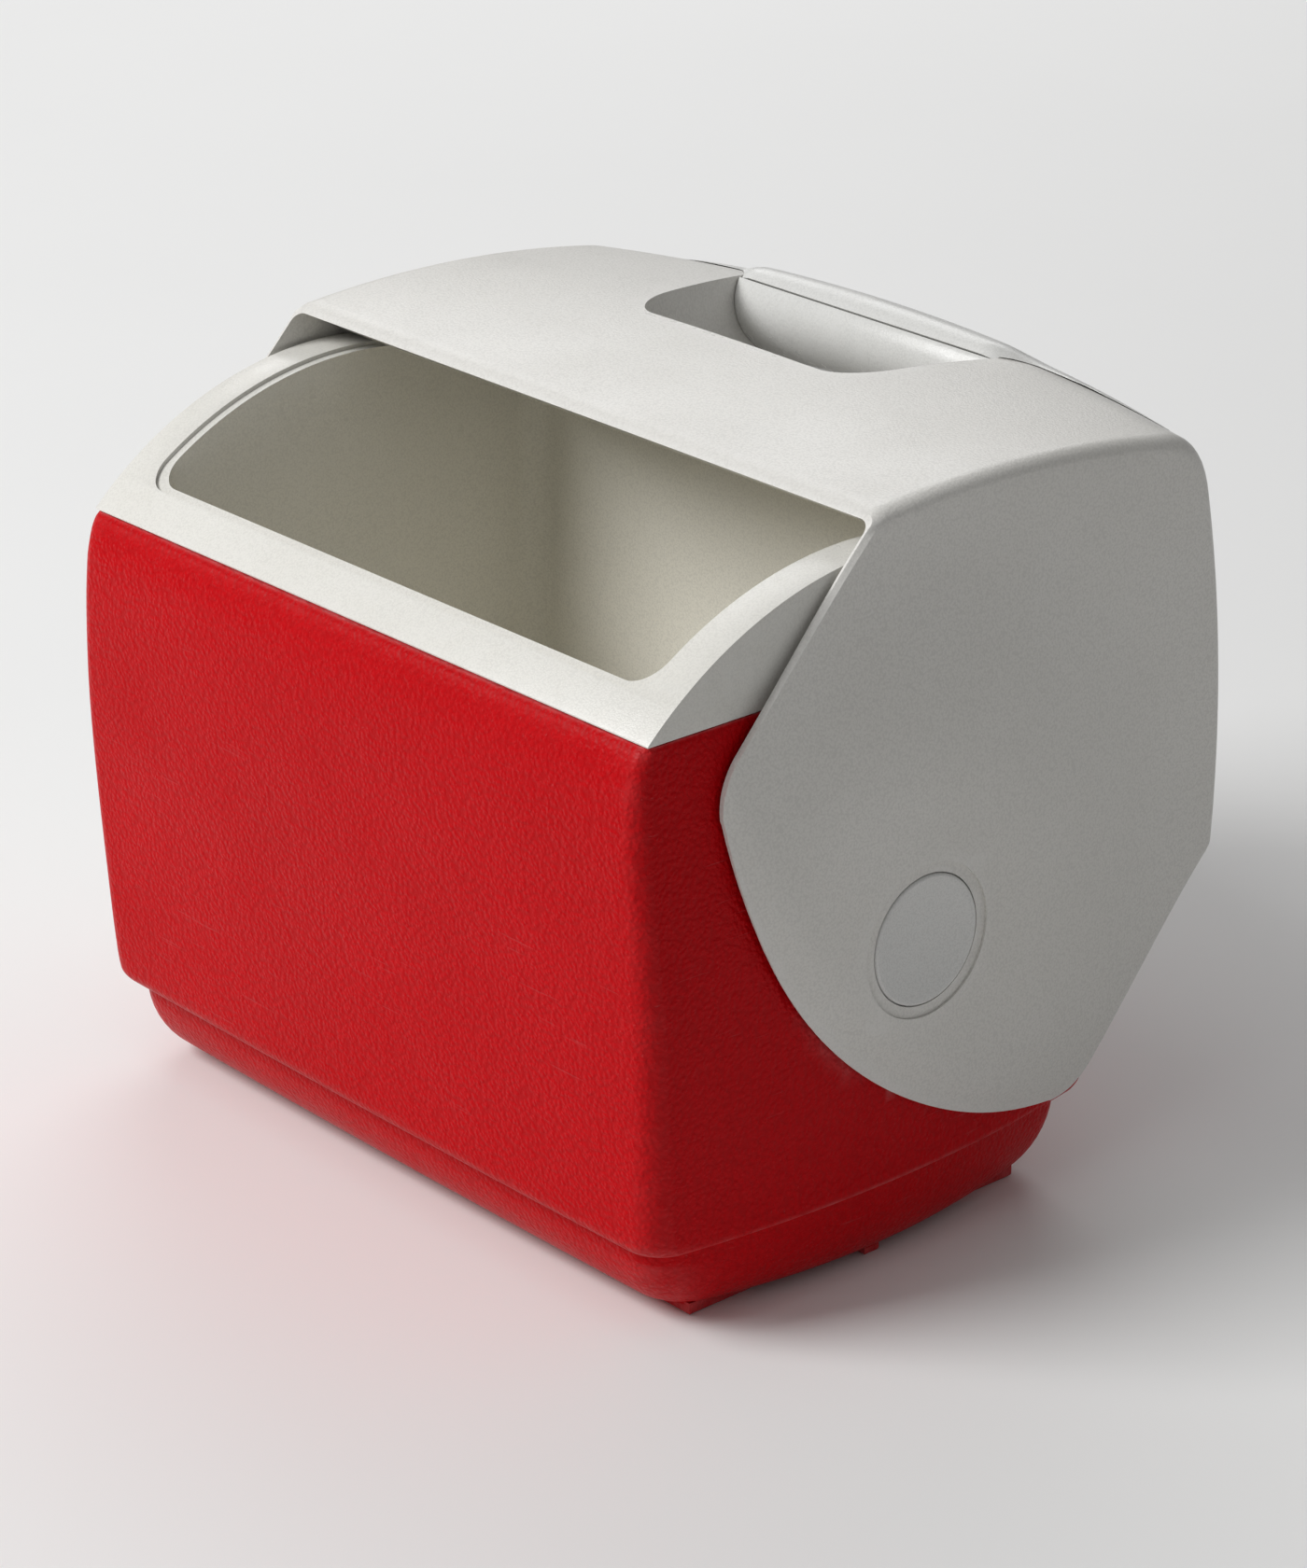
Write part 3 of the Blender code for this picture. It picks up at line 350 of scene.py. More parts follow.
def noise(tree, vector, scale, detail=3.0, roughness=0.5):
    """A Noise texture; scale is a number or a socket. Gives its factor."""
    node = tree.nodes.new("ShaderNodeTexNoise")
    tree.links.new(vector, node.inputs["Vector"])
    feed(tree, node.inputs["Scale"], scale)
    node.inputs["Detail"].default_value = detail
    node.inputs["Roughness"].default_value = roughness
    return node.outputs["Fac"]


def ramp(tree, value, low, high, to_low=0.0, to_high=1.0):
    """Maps a range of a value onto another, clamped."""
    node = tree.nodes.new("ShaderNodeMapRange")
    tree.links.new(value, node.inputs["Value"])
    for label, number in (("From Min", low), ("From Max", high), ("To Min", to_low), ("To Max", to_high)):
        feed(tree, node.inputs[label], number)
    return node.outputs[0]


def blended(tree, factor, first, second):
    """A mix of two colours, each a colour or a socket; gives its output."""
    mix = tree.nodes.new("ShaderNodeMix")
    mix.data_type = "RGBA"
    tree.links.new(factor, mix.inputs[0])
    feed(tree, mix.inputs[6], first)
    feed(tree, mix.inputs[7], second)
    return mix.outputs[2]


def raised(tree, shader, height, distance):
    """Joins a height to the shader's normal through a Bump node."""
    bump = tree.nodes.new("ShaderNodeBump")
    bump.inputs["Distance"].default_value = distance
    tree.links.new(height, bump.inputs["Height"])
    tree.links.new(bump.outputs["Normal"], shader.inputs["Normal"])


def painted(name):
    """A new material; gives it, its tree, its shader and its Object coordinates."""
    material = bpy.data.materials.new(name)
    material.use_nodes = True
    tree = material.node_tree
    place = tree.nodes.new("ShaderNodeTexCoord").outputs["Object"]
    return material, tree, tree.nodes["Principled BSDF"], place


# pebble grain that a mould leaves: round cells with soft valleys, and a fine tooth over them; the valley mask
# is used to paint shade into the hollows between the cells
mould_grain, taken, given = nodes_group("mould grain", (
    ("INPUT", "NodeSocketVector", "Vector", None),
    ("INPUT", "NodeSocketFloat", "Cells per Metre", 800.0),
    ("INPUT", "NodeSocketFloat", "Tooth", 0.35),
    ("OUTPUT", "NodeSocketFloat", "Height", None),
    ("OUTPUT", "NodeSocketFloat", "Valley Shade", None)))
cells = mould_grain.nodes.new("ShaderNodeTexVoronoi")
cells.feature = "SMOOTH_F1"
cells.inputs["Smoothness"].default_value = 0.6
warp = mould_grain.nodes.new("ShaderNodeVectorMath")
warp.operation = "ADD"
warp_noise = mould_grain.nodes.new("ShaderNodeTexNoise")
warp_noise.inputs["Scale"].default_value = 420.0
warp_scale = mould_grain.nodes.new("ShaderNodeVectorMath")
warp_scale.operation = "SCALE"
warp_scale.inputs["Scale"].default_value = 0.0012
mould_grain.links.new(taken.outputs["Vector"], warp_noise.inputs["Vector"])
mould_grain.links.new(warp_noise.outputs["Color"], warp_scale.inputs[0])
mould_grain.links.new(taken.outputs["Vector"], warp.inputs[0])
mould_grain.links.new(warp_scale.outputs[0], warp.inputs[1])
mould_grain.links.new(warp.outputs[0], cells.inputs["Vector"])
mould_grain.links.new(taken.outputs["Cells per Metre"], cells.inputs["Scale"])
tooth = noise(mould_grain, taken.outputs["Vector"],
              maths(mould_grain, "MULTIPLY", taken.outputs["Cells per Metre"], 2.7), 2.0)
pebble = ramp(mould_grain, cells.outputs["Distance"], 0.05, 0.75, 1.0, 0.0)
height = maths(mould_grain, "ADD", pebble, maths(mould_grain, "MULTIPLY", tooth, taken.outputs["Tooth"]))
mould_grain.links.new(height, given.inputs["Height"])
mould_grain.links.new(ramp(mould_grain, cells.outputs["Distance"], 0.35, 0.7), given.inputs["Valley Shade"])

# handling: broad smudges, short fine scratches and a little settled dust
handling, taken, given = nodes_group("handling marks", (
    ("INPUT", "NodeSocketVector", "Vector", None),
    ("INPUT", "NodeSocketFloat", "Scratches", 0.5),
    ("OUTPUT", "NodeSocketFloat", "Smudge", None),
    ("OUTPUT", "NodeSocketFloat", "Scratch", None),
    ("OUTPUT", "NodeSocketFloat", "Dust", None)))
smudge = ramp(handling, noise(handling, taken.outputs["Vector"], 24.0, 4.0, 0.6), 0.38, 0.66)
scratch_total = None
for turn, stretch in (((0.3, 0.5, 0.2), (30.0, 900.0, 900.0)), ((1.2, 0.1, 0.9), (900.0, 40.0, 900.0))):
    mapping = handling.nodes.new("ShaderNodeMapping")
    mapping.inputs["Rotation"].default_value = turn
    mapping.inputs["Scale"].default_value = stretch
    handling.links.new(taken.outputs["Vector"], mapping.inputs["Vector"])
    line = ramp(handling, noise(handling, mapping.outputs[0], 1.0, 1.0), 0.70, 0.76)
    patch = ramp(handling, noise(handling, taken.outputs["Vector"], 15.0 + 8.0 * turn[0], 1.0), 0.50, 0.62)
    line = maths(handling, "MULTIPLY", line, patch)
    scratch_total = line if scratch_total is None else maths(handling, "MAXIMUM", scratch_total, line)
scratch_total = maths(handling, "MULTIPLY", scratch_total, taken.outputs["Scratches"])
facing = handling.nodes.new("ShaderNodeNewGeometry")
split = handling.nodes.new("ShaderNodeSeparateXYZ")
handling.links.new(facing.outputs["Normal"], split.inputs[0])
upward = ramp(handling, split.outputs["Z"], 0.35, 1.0)
specks = ramp(handling, noise(handling, taken.outputs["Vector"], 1900.0, 2.0, 0.7), 0.60, 0.72)
dust = maths(handling, "MULTIPLY", maths(handling, "MULTIPLY", upward, specks), smudge)
handling.links.new(smudge, given.inputs["Smudge"])
handling.links.new(scratch_total, given.inputs["Scratch"])
handling.links.new(dust, given.inputs["Dust"])

# worn edges: where a surface bends out sharply the mould grain is rubbed smooth and paler
rubbed_edge, taken, given = nodes_group("rubbed edge", (
    ("INPUT", "NodeSocketVector", "Vector", None),
    ("INPUT", "NodeSocketFloat", "Reach", 0.03),
    ("OUTPUT", "NodeSocketFloat", "Rub", None)))
bend = rubbed_edge.nodes.new("ShaderNodeNewGeometry")
broken = ramp(rubbed_edge, noise(rubbed_edge, taken.outputs["Vector"], 160.0, 4.0), 0.35, 0.65, 0.35, 1.0)
over = maths(rubbed_edge, "ADD", 0.505, taken.outputs["Reach"])
rub = maths(rubbed_edge, "MULTIPLY", ramp(rubbed_edge, bend.outputs["Pointiness"], 0.505, over), broken)
rubbed_edge.links.new(rub, given.inputs["Rub"])


def moulded(name, colour, deep, roughness, cells_per_metre, relief, tooth_share, scratches, gloss=0.35):
    """A moulded plastic: grained, with painted shade in the grain's valleys, slightly uneven in tone, rubbed
    at its edges and handled.
    """
    material, tree, shader, place = painted(name)
    grain = tree.nodes.new("ShaderNodeGroup")
    grain.node_tree = mould_grain
    grain.inputs["Cells per Metre"].default_value = cells_per_metre
    grain.inputs["Tooth"].default_value = tooth_share
    marks = tree.nodes.new("ShaderNodeGroup")
    marks.node_tree = handling
    marks.inputs["Scratches"].default_value = scratches
    edge = tree.nodes.new("ShaderNodeGroup")
    edge.node_tree = rubbed_edge
    for node in (grain, marks, edge):
        tree.links.new(place, node.inputs["Vector"])
    # the grain's valleys get painted shade, a darker copy of the deep colour
    painted_valley_shade = tuple(0.72 * part for part in deep)
    rubbed_tone = tuple(part + (0.8 - part) * 0.16 for part in colour)
    dust_tone = (0.62, 0.60, 0.56)
    base = blended(tree, ramp(tree, noise(tree, place, 9.0, 3.0, 0.6), 0.3, 0.7), deep, colour)
    for mask, strength, tone in ((grain.outputs["Valley Shade"], 0.35, painted_valley_shade),
                                 (edge.outputs["Rub"], 0.5, rubbed_tone),
                                 (marks.outputs["Scratch"], 0.35, rubbed_tone),
                                 (marks.outputs["Dust"], 0.22, dust_tone)):
        base = blended(tree, maths(tree, "MULTIPLY", mask, strength), base, tone)
    tree.links.new(base, shader.inputs["Base Color"])
    rough = maths(tree, "ADD", roughness - 0.05, maths(tree, "MULTIPLY", marks.outputs["Smudge"], 0.10))
    rough = maths(tree, "ADD", rough, maths(tree, "MULTIPLY", marks.outputs["Dust"], 0.25))
    rough = maths(tree, "SUBTRACT", rough, maths(tree, "MULTIPLY", edge.outputs["Rub"], 0.07), True)
    tree.links.new(rough, shader.inputs["Roughness"])
    lift = maths(tree, "SUBTRACT", grain.outputs["Height"],
                 maths(tree, "MULTIPLY", marks.outputs["Scratch"], 0.6))
    swell = maths(tree, "MULTIPLY", noise(tree, place, 26.0, 2.0), 0.8)
    raised(tree, shader, maths(tree, "ADD", lift, swell), relief)
    shader.inputs["IOR"].default_value = 1.49
    shader.inputs["Specular IOR Level"].default_value = gloss
    return material


shell_red = moulded("shell_red", (0.520, 0.0012, 0.0045), (0.465, 0.0010, 0.0036), 0.40, 620.0,
                    0.00030, 0.5, 0.5, 0.07)


def fitted(piece, material, slot, body, *replaced):
    """Gives a finished piece its material and its body, and hides the nodes that it stands for; the slot
    argument is not used.
    """
    piece.data.materials.clear()
    piece.data.materials.append(material)
    piece.data.update()
    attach(piece, body)
    if replaced:
        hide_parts(*replaced)
    return piece


fitted(outer_body, shell_red, "shell_red", "cooler_body", "outer_shell")

# ---------------------------------------------------------------- food liner and rim
# The liner is a vacuum-formed white tub that hangs in the body. Its rim is part of a cylinder about
# the swing axis, with two arched ends and a stepped, rounded lip round the opening.
liner_half_x, liner_half_y, liner_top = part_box("inner_liner")[1]
RIM_ARC = liner_top - pivot.z
LINER_WALL = 0.0022
LIP_WIDTH = 0.0030
LIP_DEPTH = 0.0013
TUB_FLOOR_Z = 0.0225
TUB_RISE = 0.2175
TUB_TOP_Z = 0.2400
TUB_ROUND = 0.0080
TUB_CORNER = 0.0090
TUB_FLOOR_HALF = (0.1138, 0.0735)
TUB_FLARE = (0.0032, 0.0053)
TUB_TOP_HALF = (0.1170, 0.0788)


def arched_block(name, half_x, half_y, radius, low, steps=96):
    """A block whose top is a cylinder about the swing axis."""
    reach = math.asin(half_y / radius)
    outline = [(-half_y, low)]
    for i in range(steps + 1):
        angle = -reach + 2 * reach * i / steps
        outline.append((radius * math.sin(angle), pivot.z + radius * math.cos(angle)))
    outline.append((half_y, low))
    return skinned(name, [[(x, y, z) for y, z in outline] for x in (-half_x, half_x)])


def tub(name, offset):
    """The food compartment's volume, grown by offset, with rounded corners and floor."""
    rings = []
    floor = TUB_FLOOR_Z - offset
    for i in range(9):
        angle = math.pi / 2 * i / 8
        z = floor + TUB_ROUND * (1 - math.cos(angle))
        pull = TUB_ROUND * (1 - math.sin(angle))
        share = (z - TUB_FLOOR_Z) / TUB_RISE
        rings.append(round_cornered(TUB_FLOOR_HALF[0] + TUB_FLARE[0] * share - pull + offset,
                                    TUB_FLOOR_HALF[1] + TUB_FLARE[1] * share - pull + offset,
                                    TUB_CORNER - pull, z))
    rings.append(round_cornered(TUB_TOP_HALF[0] + offset, TUB_TOP_HALF[1] + offset, TUB_CORNER, TUB_TOP_Z))
    return skinned(name, rings)


def round_cornered(half_x, half_y, corner, z, fine=10):
    """A rectangle with round corners."""
    ring = []
    for quadrant, (sx, sy) in enumerate(((1, 1), (-1, 1), (-1, -1), (1, -1))):
        for i in range(fine + 1):
            angle = math.pi / 2 * (quadrant + i / fine)
            ring.append((sx * (half_x - corner) + corner * math.cos(angle),
                         sy * (half_y - corner) + corner * math.sin(angle), z))
    return ring


liner = arched_block("food_liner", liner_half_x, liner_half_y, RIM_ARC, BODY_TOP + 0.0003)
bucket = tub("bucket", LINER_WALL)
worked(bucket, ("INTERSECT", arched_block("bucket_top", 0.15, liner_half_y - LINER_WALL / 2,
                                          RIM_ARC - LINER_WALL / 2, 0.0)))
lip_step = worked(tub("lip_step", LIP_WIDTH),
                  ("DIFFERENCE", arched_block("rim_skin", 0.15, 0.12, RIM_ARC - LIP_DEPTH, 0.0)))
worked(liner,
       ("DIFFERENCE", arched_block("under_rim", liner_half_x - LINER_WALL, liner_half_y - LINER_WALL,
                                   RIM_ARC - LINER_WALL, 0.15)),
       ("UNION", bucket),
       ("DIFFERENCE", tub("food_space", 0.0)),
       ("DIFFERENCE", lip_step))
eased(liner, 0.0007, 38.0)
liner_white = moulded("liner_white", (0.740, 0.728, 0.685), (0.705, 0.690, 0.640), 0.36, 1500.0,
                      0.00003, 0.6, 0.8)
# a creamier and much brighter copy of the liner plastic for the tub's inside: painted light falling in through
# the opening
liner_cream_lit = moulded("liner_cream_lit", (0.920, 0.895, 0.810), (0.890, 0.860, 0.765), 0.34, 1500.0,
                      0.00003, 0.6, 0.6)
fitted(liner, liner_white, "liner_white", "cooler_body", "inner_liner")
liner.data.materials.append(liner_cream_lit)
# the tub's own faces, below the lip, get the creamier copy, painted much brighter than the rim: painted light
# on the inside of the tub
for face in liner.data.polygons:
    x, y, z = face.center
    if abs(x) < 0.1190 and abs(y) < 0.0805 and math.hypot(y, z - pivot.z) < RIM_ARC - 0.0025:
        face.material_index = 1

# ---------------------------------------------------------------- foam between the skins
# Poured insulating foam fills the space between body and liner. It is pale yellow, closed-celled
# and matt, and only shows where the skins are cut open.
foam, tree, shader, place = painted("foam_yellow")
bubbles = tree.nodes.new("ShaderNodeTexVoronoi")
bubbles.inputs["Scale"].default_value = 900.0
tree.links.new(place, bubbles.inputs["Vector"])
tree.links.new(blended(tree, ramp(tree, noise(tree, place, 60.0, 4.0), 0.35, 0.7),
                       (0.80, 0.72, 0.50), (0.62, 0.50, 0.28)), shader.inputs["Base Color"])
tree.links.new(ramp(tree, bubbles.outputs["Distance"], 0.0, 0.6, 0.95, 0.75), shader.inputs["Roughness"])
raised(tree, shader, bubbles.outputs["Distance"], 0.0003)
cad["foam_core"].material_slots[0].material = foam

# ---------------------------------------------------------------- pivots in the side wells
# Each side well holds a grey acetal hub plate on three pan head screws, with a bearing cap behind
# it. A steel pin with a washer and a retainer turns in the plate's boss.
hub_grey = moulded("hub_grey", (0.260, 0.260, 0.270), (0.210, 0.210, 0.220), 0.48, 1700.0,
                   0.00003, 0.5, 0.9)
washer_cream = moulded("washer_cream", (0.660, 0.610, 0.480), (0.600, 0.550, 0.430), 0.45, 1700.0,
                       0.00002, 0.3, 0.3)


def turned_steel(name, colour, roughness):
    """Plated steel with lathe lines about the X axis, fine scratches and a few dull spots."""
    material, tree, shader, place = painted(name)
    marks = tree.nodes.new("ShaderNodeGroup")
    marks.node_tree = handling
    marks.inputs["Scratches"].default_value = 0.8
    tree.links.new(place, marks.inputs["Vector"])
    stretched = tree.nodes.new("ShaderNodeMapping")
    stretched.inputs["Scale"].default_value = (9000.0, 120.0, 120.0)
    tree.links.new(place, stretched.inputs["Vector"])
    lines = noise(tree, stretched.outputs[0], 1.0, 2.0)
    tree.links.new(blended(tree, ramp(tree, noise(tree, place, 500.0, 4.0), 0.5, 0.75), colour,
                           tuple(part * 0.6 for part in colour)), shader.inputs["Base Color"])
    tree.links.new(maths(tree, "ADD", roughness, maths(tree, "MULTIPLY", marks.outputs["Smudge"], 0.14)),
                   shader.inputs["Roughness"])
    shader.inputs["Metallic"].default_value = 1.0
    raised(tree, shader, maths(tree, "SUBTRACT", lines, marks.outputs["Scratch"]), 0.00002)
    return material


fastener_steel = turned_steel("fastener_steel", (0.60, 0.60, 0.61), 0.24)
spring_steel = turned_steel("spring_steel", (0.48, 0.48, 0.50), 0.30)
for name, node in cad.items():
    if name.startswith(("hub_plate", "bearing_cap", "button_housing", "pivot_carrier")):
        node.material_slots[0].material = hub_grey
    elif name.startswith("thrust_washer"):
        node.material_slots[0].material = washer_cream
    elif name.startswith(("pivot_pin", "pivot_retainer", "latch_pin", "handle_screw")):
        node.material_slots[0].material = fastener_steel
    elif name.startswith("button_spring"):
        node.material_slots[0].material = spring_steel

# The hub screws are pan heads with a cross recess, three on a circle, set by one tree for a side.
screw_tree = bpy.data.node_groups.new("hub screws", "GeometryNodeTree")
screw_sockets = {}
screw_sizes = {"Circle Radius": 0.030, "Head Radius": 0.0030, "Head Height": 0.0020, "Shank Radius": 0.0015,
               "Length": 0.0112, "Count": 3}
for label, kind in (("Circle Radius", "NodeSocketFloat"), ("Head Radius", "NodeSocketFloat"),
                    ("Head Height", "NodeSocketFloat"), ("Shank Radius", "NodeSocketFloat"),
                    ("Length", "NodeSocketFloat"), ("Count", "NodeSocketInt"),
                    ("Metal", "NodeSocketMaterial")):
    socket = screw_tree.interface.new_socket(label, in_out="INPUT", socket_type=kind)
    screw_sockets[label] = socket.identifier
screw_tree.interface.new_socket("Screws", in_out="OUTPUT", socket_type="NodeSocketGeometry")
asked = screw_tree.nodes.new("NodeGroupInput")
answer = screw_tree.nodes.new("NodeGroupOutput")


def tree_point(x, y, z):
    """A vector of the screw tree from three numbers or sockets."""
    node = screw_tree.nodes.new("ShaderNodeCombineXYZ")
    for socket, value in zip(node.inputs, (x, y, z)):
        feed(screw_tree, socket, value)
    return node.outputs[0]


def tree_moved(geometry, translation):
    """Moves a mesh of the screw tree."""
    node = screw_tree.nodes.new("GeometryNodeTransform")
    screw_tree.links.new(geometry, node.inputs["Geometry"])
    screw_tree.links.new(translation, node.inputs["Translation"])
    return node.outputs[0]


head = screw_tree.nodes.new("GeometryNodeMeshCone")
head.inputs["Vertices"].default_value = 40
screw_tree.links.new(maths(screw_tree, "MULTIPLY", asked.outputs["Head Radius"], 0.72),
                     head.inputs["Radius Top"])
screw_tree.links.new(asked.outputs["Head Radius"], head.inputs["Radius Bottom"])
screw_tree.links.new(asked.outputs["Head Height"], head.inputs["Depth"])
head_drop = maths(screw_tree, "MULTIPLY", asked.outputs["Head Height"], -1.0)
head_at = tree_moved(head.outputs["Mesh"], tree_point(0.0, 0.0, head_drop))
shank = screw_tree.nodes.new("GeometryNodeMeshCylinder")
shank.inputs["Vertices"].default_value = 24
screw_tree.links.new(asked.outputs["Shank Radius"], shank.inputs["Radius"])
half_head = maths(screw_tree, "MULTIPLY", asked.outputs["Head Height"], 0.5)
shank_length = maths(screw_tree, "SUBTRACT", asked.outputs["Length"], half_head)
screw_tree.links.new(shank_length, shank.inputs["Depth"])
half_shank = maths(screw_tree, "MULTIPLY", shank_length, 0.5)
shank_at = tree_moved(shank.outputs["Mesh"], tree_point(
    0.0, 0.0, maths(screw_tree, "SUBTRACT", half_shank, asked.outputs["Length"])))
whole = screw_tree.nodes.new("GeometryNodeMeshBoolean")
whole.operation = "UNION"
whole.solver = "EXACT"
screw_tree.links.new(head_at, whole.inputs["Mesh 2"])
screw_tree.links.new(shank_at, whole.inputs["Mesh 2"])
recess = screw_tree.nodes.new("GeometryNodeMeshBoolean")
recess.operation = "DIFFERENCE"
recess.solver = "EXACT"
screw_tree.links.new(whole.outputs["Mesh"], recess.inputs["Mesh 1"])
for wide, deep in ((0.55, 0.12), (0.12, 0.55)):
    blade = screw_tree.nodes.new("GeometryNodeMeshCube")
    screw_tree.links.new(tree_point(
        maths(screw_tree, "MULTIPLY", asked.outputs["Head Radius"], 2 * wide),
        maths(screw_tree, "MULTIPLY", asked.outputs["Head Radius"], 2 * deep),
        asked.outputs["Head Height"]), blade.inputs["Size"])
    screw_tree.links.new(blade.outputs["Mesh"], recess.inputs["Mesh 2"])
ring = screw_tree.nodes.new("GeometryNodeMeshCircle")
screw_tree.links.new(asked.outputs["Count"], ring.inputs["Vertices"])
screw_tree.links.new(asked.outputs["Circle Radius"], ring.inputs["Radius"])
seats = screw_tree.nodes.new("GeometryNodeInstanceOnPoints")
screw_tree.links.new(ring.outputs["Mesh"], seats.inputs["Points"])
screw_tree.links.new(recess.outputs["Mesh"], seats.inputs["Instance"])
real = screw_tree.nodes.new("GeometryNodeRealizeInstances")
screw_tree.links.new(seats.outputs["Instances"], real.inputs["Geometry"])
plated = screw_tree.nodes.new("GeometryNodeSetMaterial")
screw_tree.links.new(real.outputs["Geometry"], plated.inputs["Geometry"])
screw_tree.links.new(asked.outputs["Metal"], plated.inputs["Material"])
screw_tree.links.new(plated.outputs["Geometry"], answer.inputs["Screws"])
for label, side in (("right", 1), ("left", -1)):
    screws = placed(f"hub_screws_{label}", bpy.data.meshes.new(f"hub_screws_{label}"))
    maker = screws.modifiers.new("screws", "NODES")
    maker.node_group = screw_tree
    for size, value in screw_sizes.items():
        maker[screw_sockets[size]] = value
    maker[screw_sockets["Metal"]] = fastener_steel
    baked(screws)
    screw_low, screw_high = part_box(f"hub_screw_{label}_1")
    outer_x = screw_high.x if side > 0 else screw_low.x
    turn = Matrix(((0, 0, side, outer_x), (side, 0, 0, 0), (0, 1, 0, well_z), (0, 0, 0, 1)))
    spin = Matrix.Rotation(math.radians(90), 4, "Z")
    screws.data.transform(turn @ spin)
    eased(screws, 0.0, 40.0)
    fitted(screws, fastener_steel, "fastener_steel", "cooler_body",
           *[f"hub_screw_{label}_{i}" for i in (1, 2, 3)])

# ---------------------------------------------------------------- lid
# The lid is a tent-shaped white moulding with two ears that turn on the side pivots. It is modelled
# closed and then swung back onto its rear stop, as it rests.
lid_swung = Matrix.Translation(pivot) @ Matrix.Rotation(-swing, 4, "X") @ Matrix.Translation(-pivot)
LID_DEPTH = 0.1040
LID_EDGE_Z = 0.1979
LID_PEAK_Z = 0.2868
SLOPE_RADIUS = 0.4180
RIDGE_CROWN = 0.0113
RIDGE_HALF = 0.0140
ROOF_WALL = 0.0036
EAR_X = 0.1358
EAR_BULGE = 0.0085
EAR_WALL = 0.0021
EAR_FILLET = 0.0060
EAR_ARC = 0.1589
EAR_ARC_Z = 0.2255
EAR_CORNER = 0.0115
BEVEL_ARC = 0.2006
BEVEL_ARC_Z = 0.2803
BEVEL_DROP = 0.0024
EAR_LEAN = 0.0060
BULGE_FROM = 0.0550
BULGE_FADE = 0.0800
RING_RADIUS = 0.0248
EAR_HOLE_RADIUS = 0.0212
SCREW_WAY_RADIUS = 0.0018
SCREW_WAY_Z = 0.2740
BUTTON_ABOVE_PIVOT = 0.0123
button_z = pivot.z + BUTTON_ABOVE_PIVOT


def eased_step(value):
    """0 below 0, 1 above 1, smooth between."""
    clipped = min(max(value, 0.0), 1.0)
    return clipped * clipped * (3.0 - 2.0 * clipped)


slope_low = Vector((LID_DEPTH, LID_EDGE_Z))
slope_peak = Vector((0.0, LID_PEAK_Z))
slope_chord = slope_peak - slope_low
slope_normal = Vector((-slope_chord.y, slope_chord.x)).normalized()
slope_centre = (slope_low + slope_peak) / 2 + slope_normal * math.sqrt(
    SLOPE_RADIUS ** 2 - (slope_chord.length / 2) ** 2)


def roof_height(x, y):
    """Height of the two round slopes, with the ridge rounded and crowned along its length."""
    across = abs(y)
    if across >= RIDGE_HALF:
        height = slope_centre.y + math.sqrt(SLOPE_RADIUS ** 2 - (across - slope_centre.x) ** 2)
    else:
        root = math.sqrt(SLOPE_RADIUS ** 2 - (RIDGE_HALF - slope_centre.x) ** 2)
        fall = (RIDGE_HALF - slope_centre.x) / root
        height = slope_centre.y + root + fall * RIDGE_HALF / 2 * (1.0 - (across / RIDGE_HALF) ** 2)
    return height + RIDGE_CROWN * (1.0 - (x / EAR_X) ** 2) * max(0.0, 1.0 - across / LID_DEPTH)


def ear_face(y, z):
    """How far the ear's outer face stands from the middle plane."""
    away = math.hypot(y, z - pivot.z)
    return EAR_X + EAR_BULGE * (1.0 - eased_step((away - BULGE_FROM) / BULGE_FADE))


def ear_side(z):
    """Where the ear's front and rear edges stand at a height."""
    return LID_DEPTH - EAR_LEAN * (LID_EDGE_Z - z)


corner_z = pivot.z
for _ in range(20):
    corner_z = EAR_ARC_Z - math.sqrt(EAR_ARC ** 2 - ear_side(corner_z) ** 2)
ear_corner = Vector((ear_side(corner_z), corner_z))
ear_tangent = Vector((EAR_ARC_Z - ear_corner.y, ear_corner.x)).normalized()
ear_start = ear_corner - ear_tangent * EAR_CORNER
ear_end = Vector((ear_side(ear_corner.y + EAR_CORNER), ear_corner.y + EAR_CORNER))


def ear_edge(column):
    """A point on the ear's lower edge; columns run from -8 at the front to 8 at the rear."""
    across = abs(column)
    if across <= 5.0:
        y = ear_start.x * across / 5.0
        z = EAR_ARC_Z - math.sqrt(EAR_ARC ** 2 - y ** 2)
    else:
        t = (across - 5.0) / 3.0
        point = ear_start * (1 - t) ** 2 + ear_corner * 2 * t * (1 - t) + ear_end * t ** 2
        y, z = point.x, point.y
    return math.copysign(y, column), z


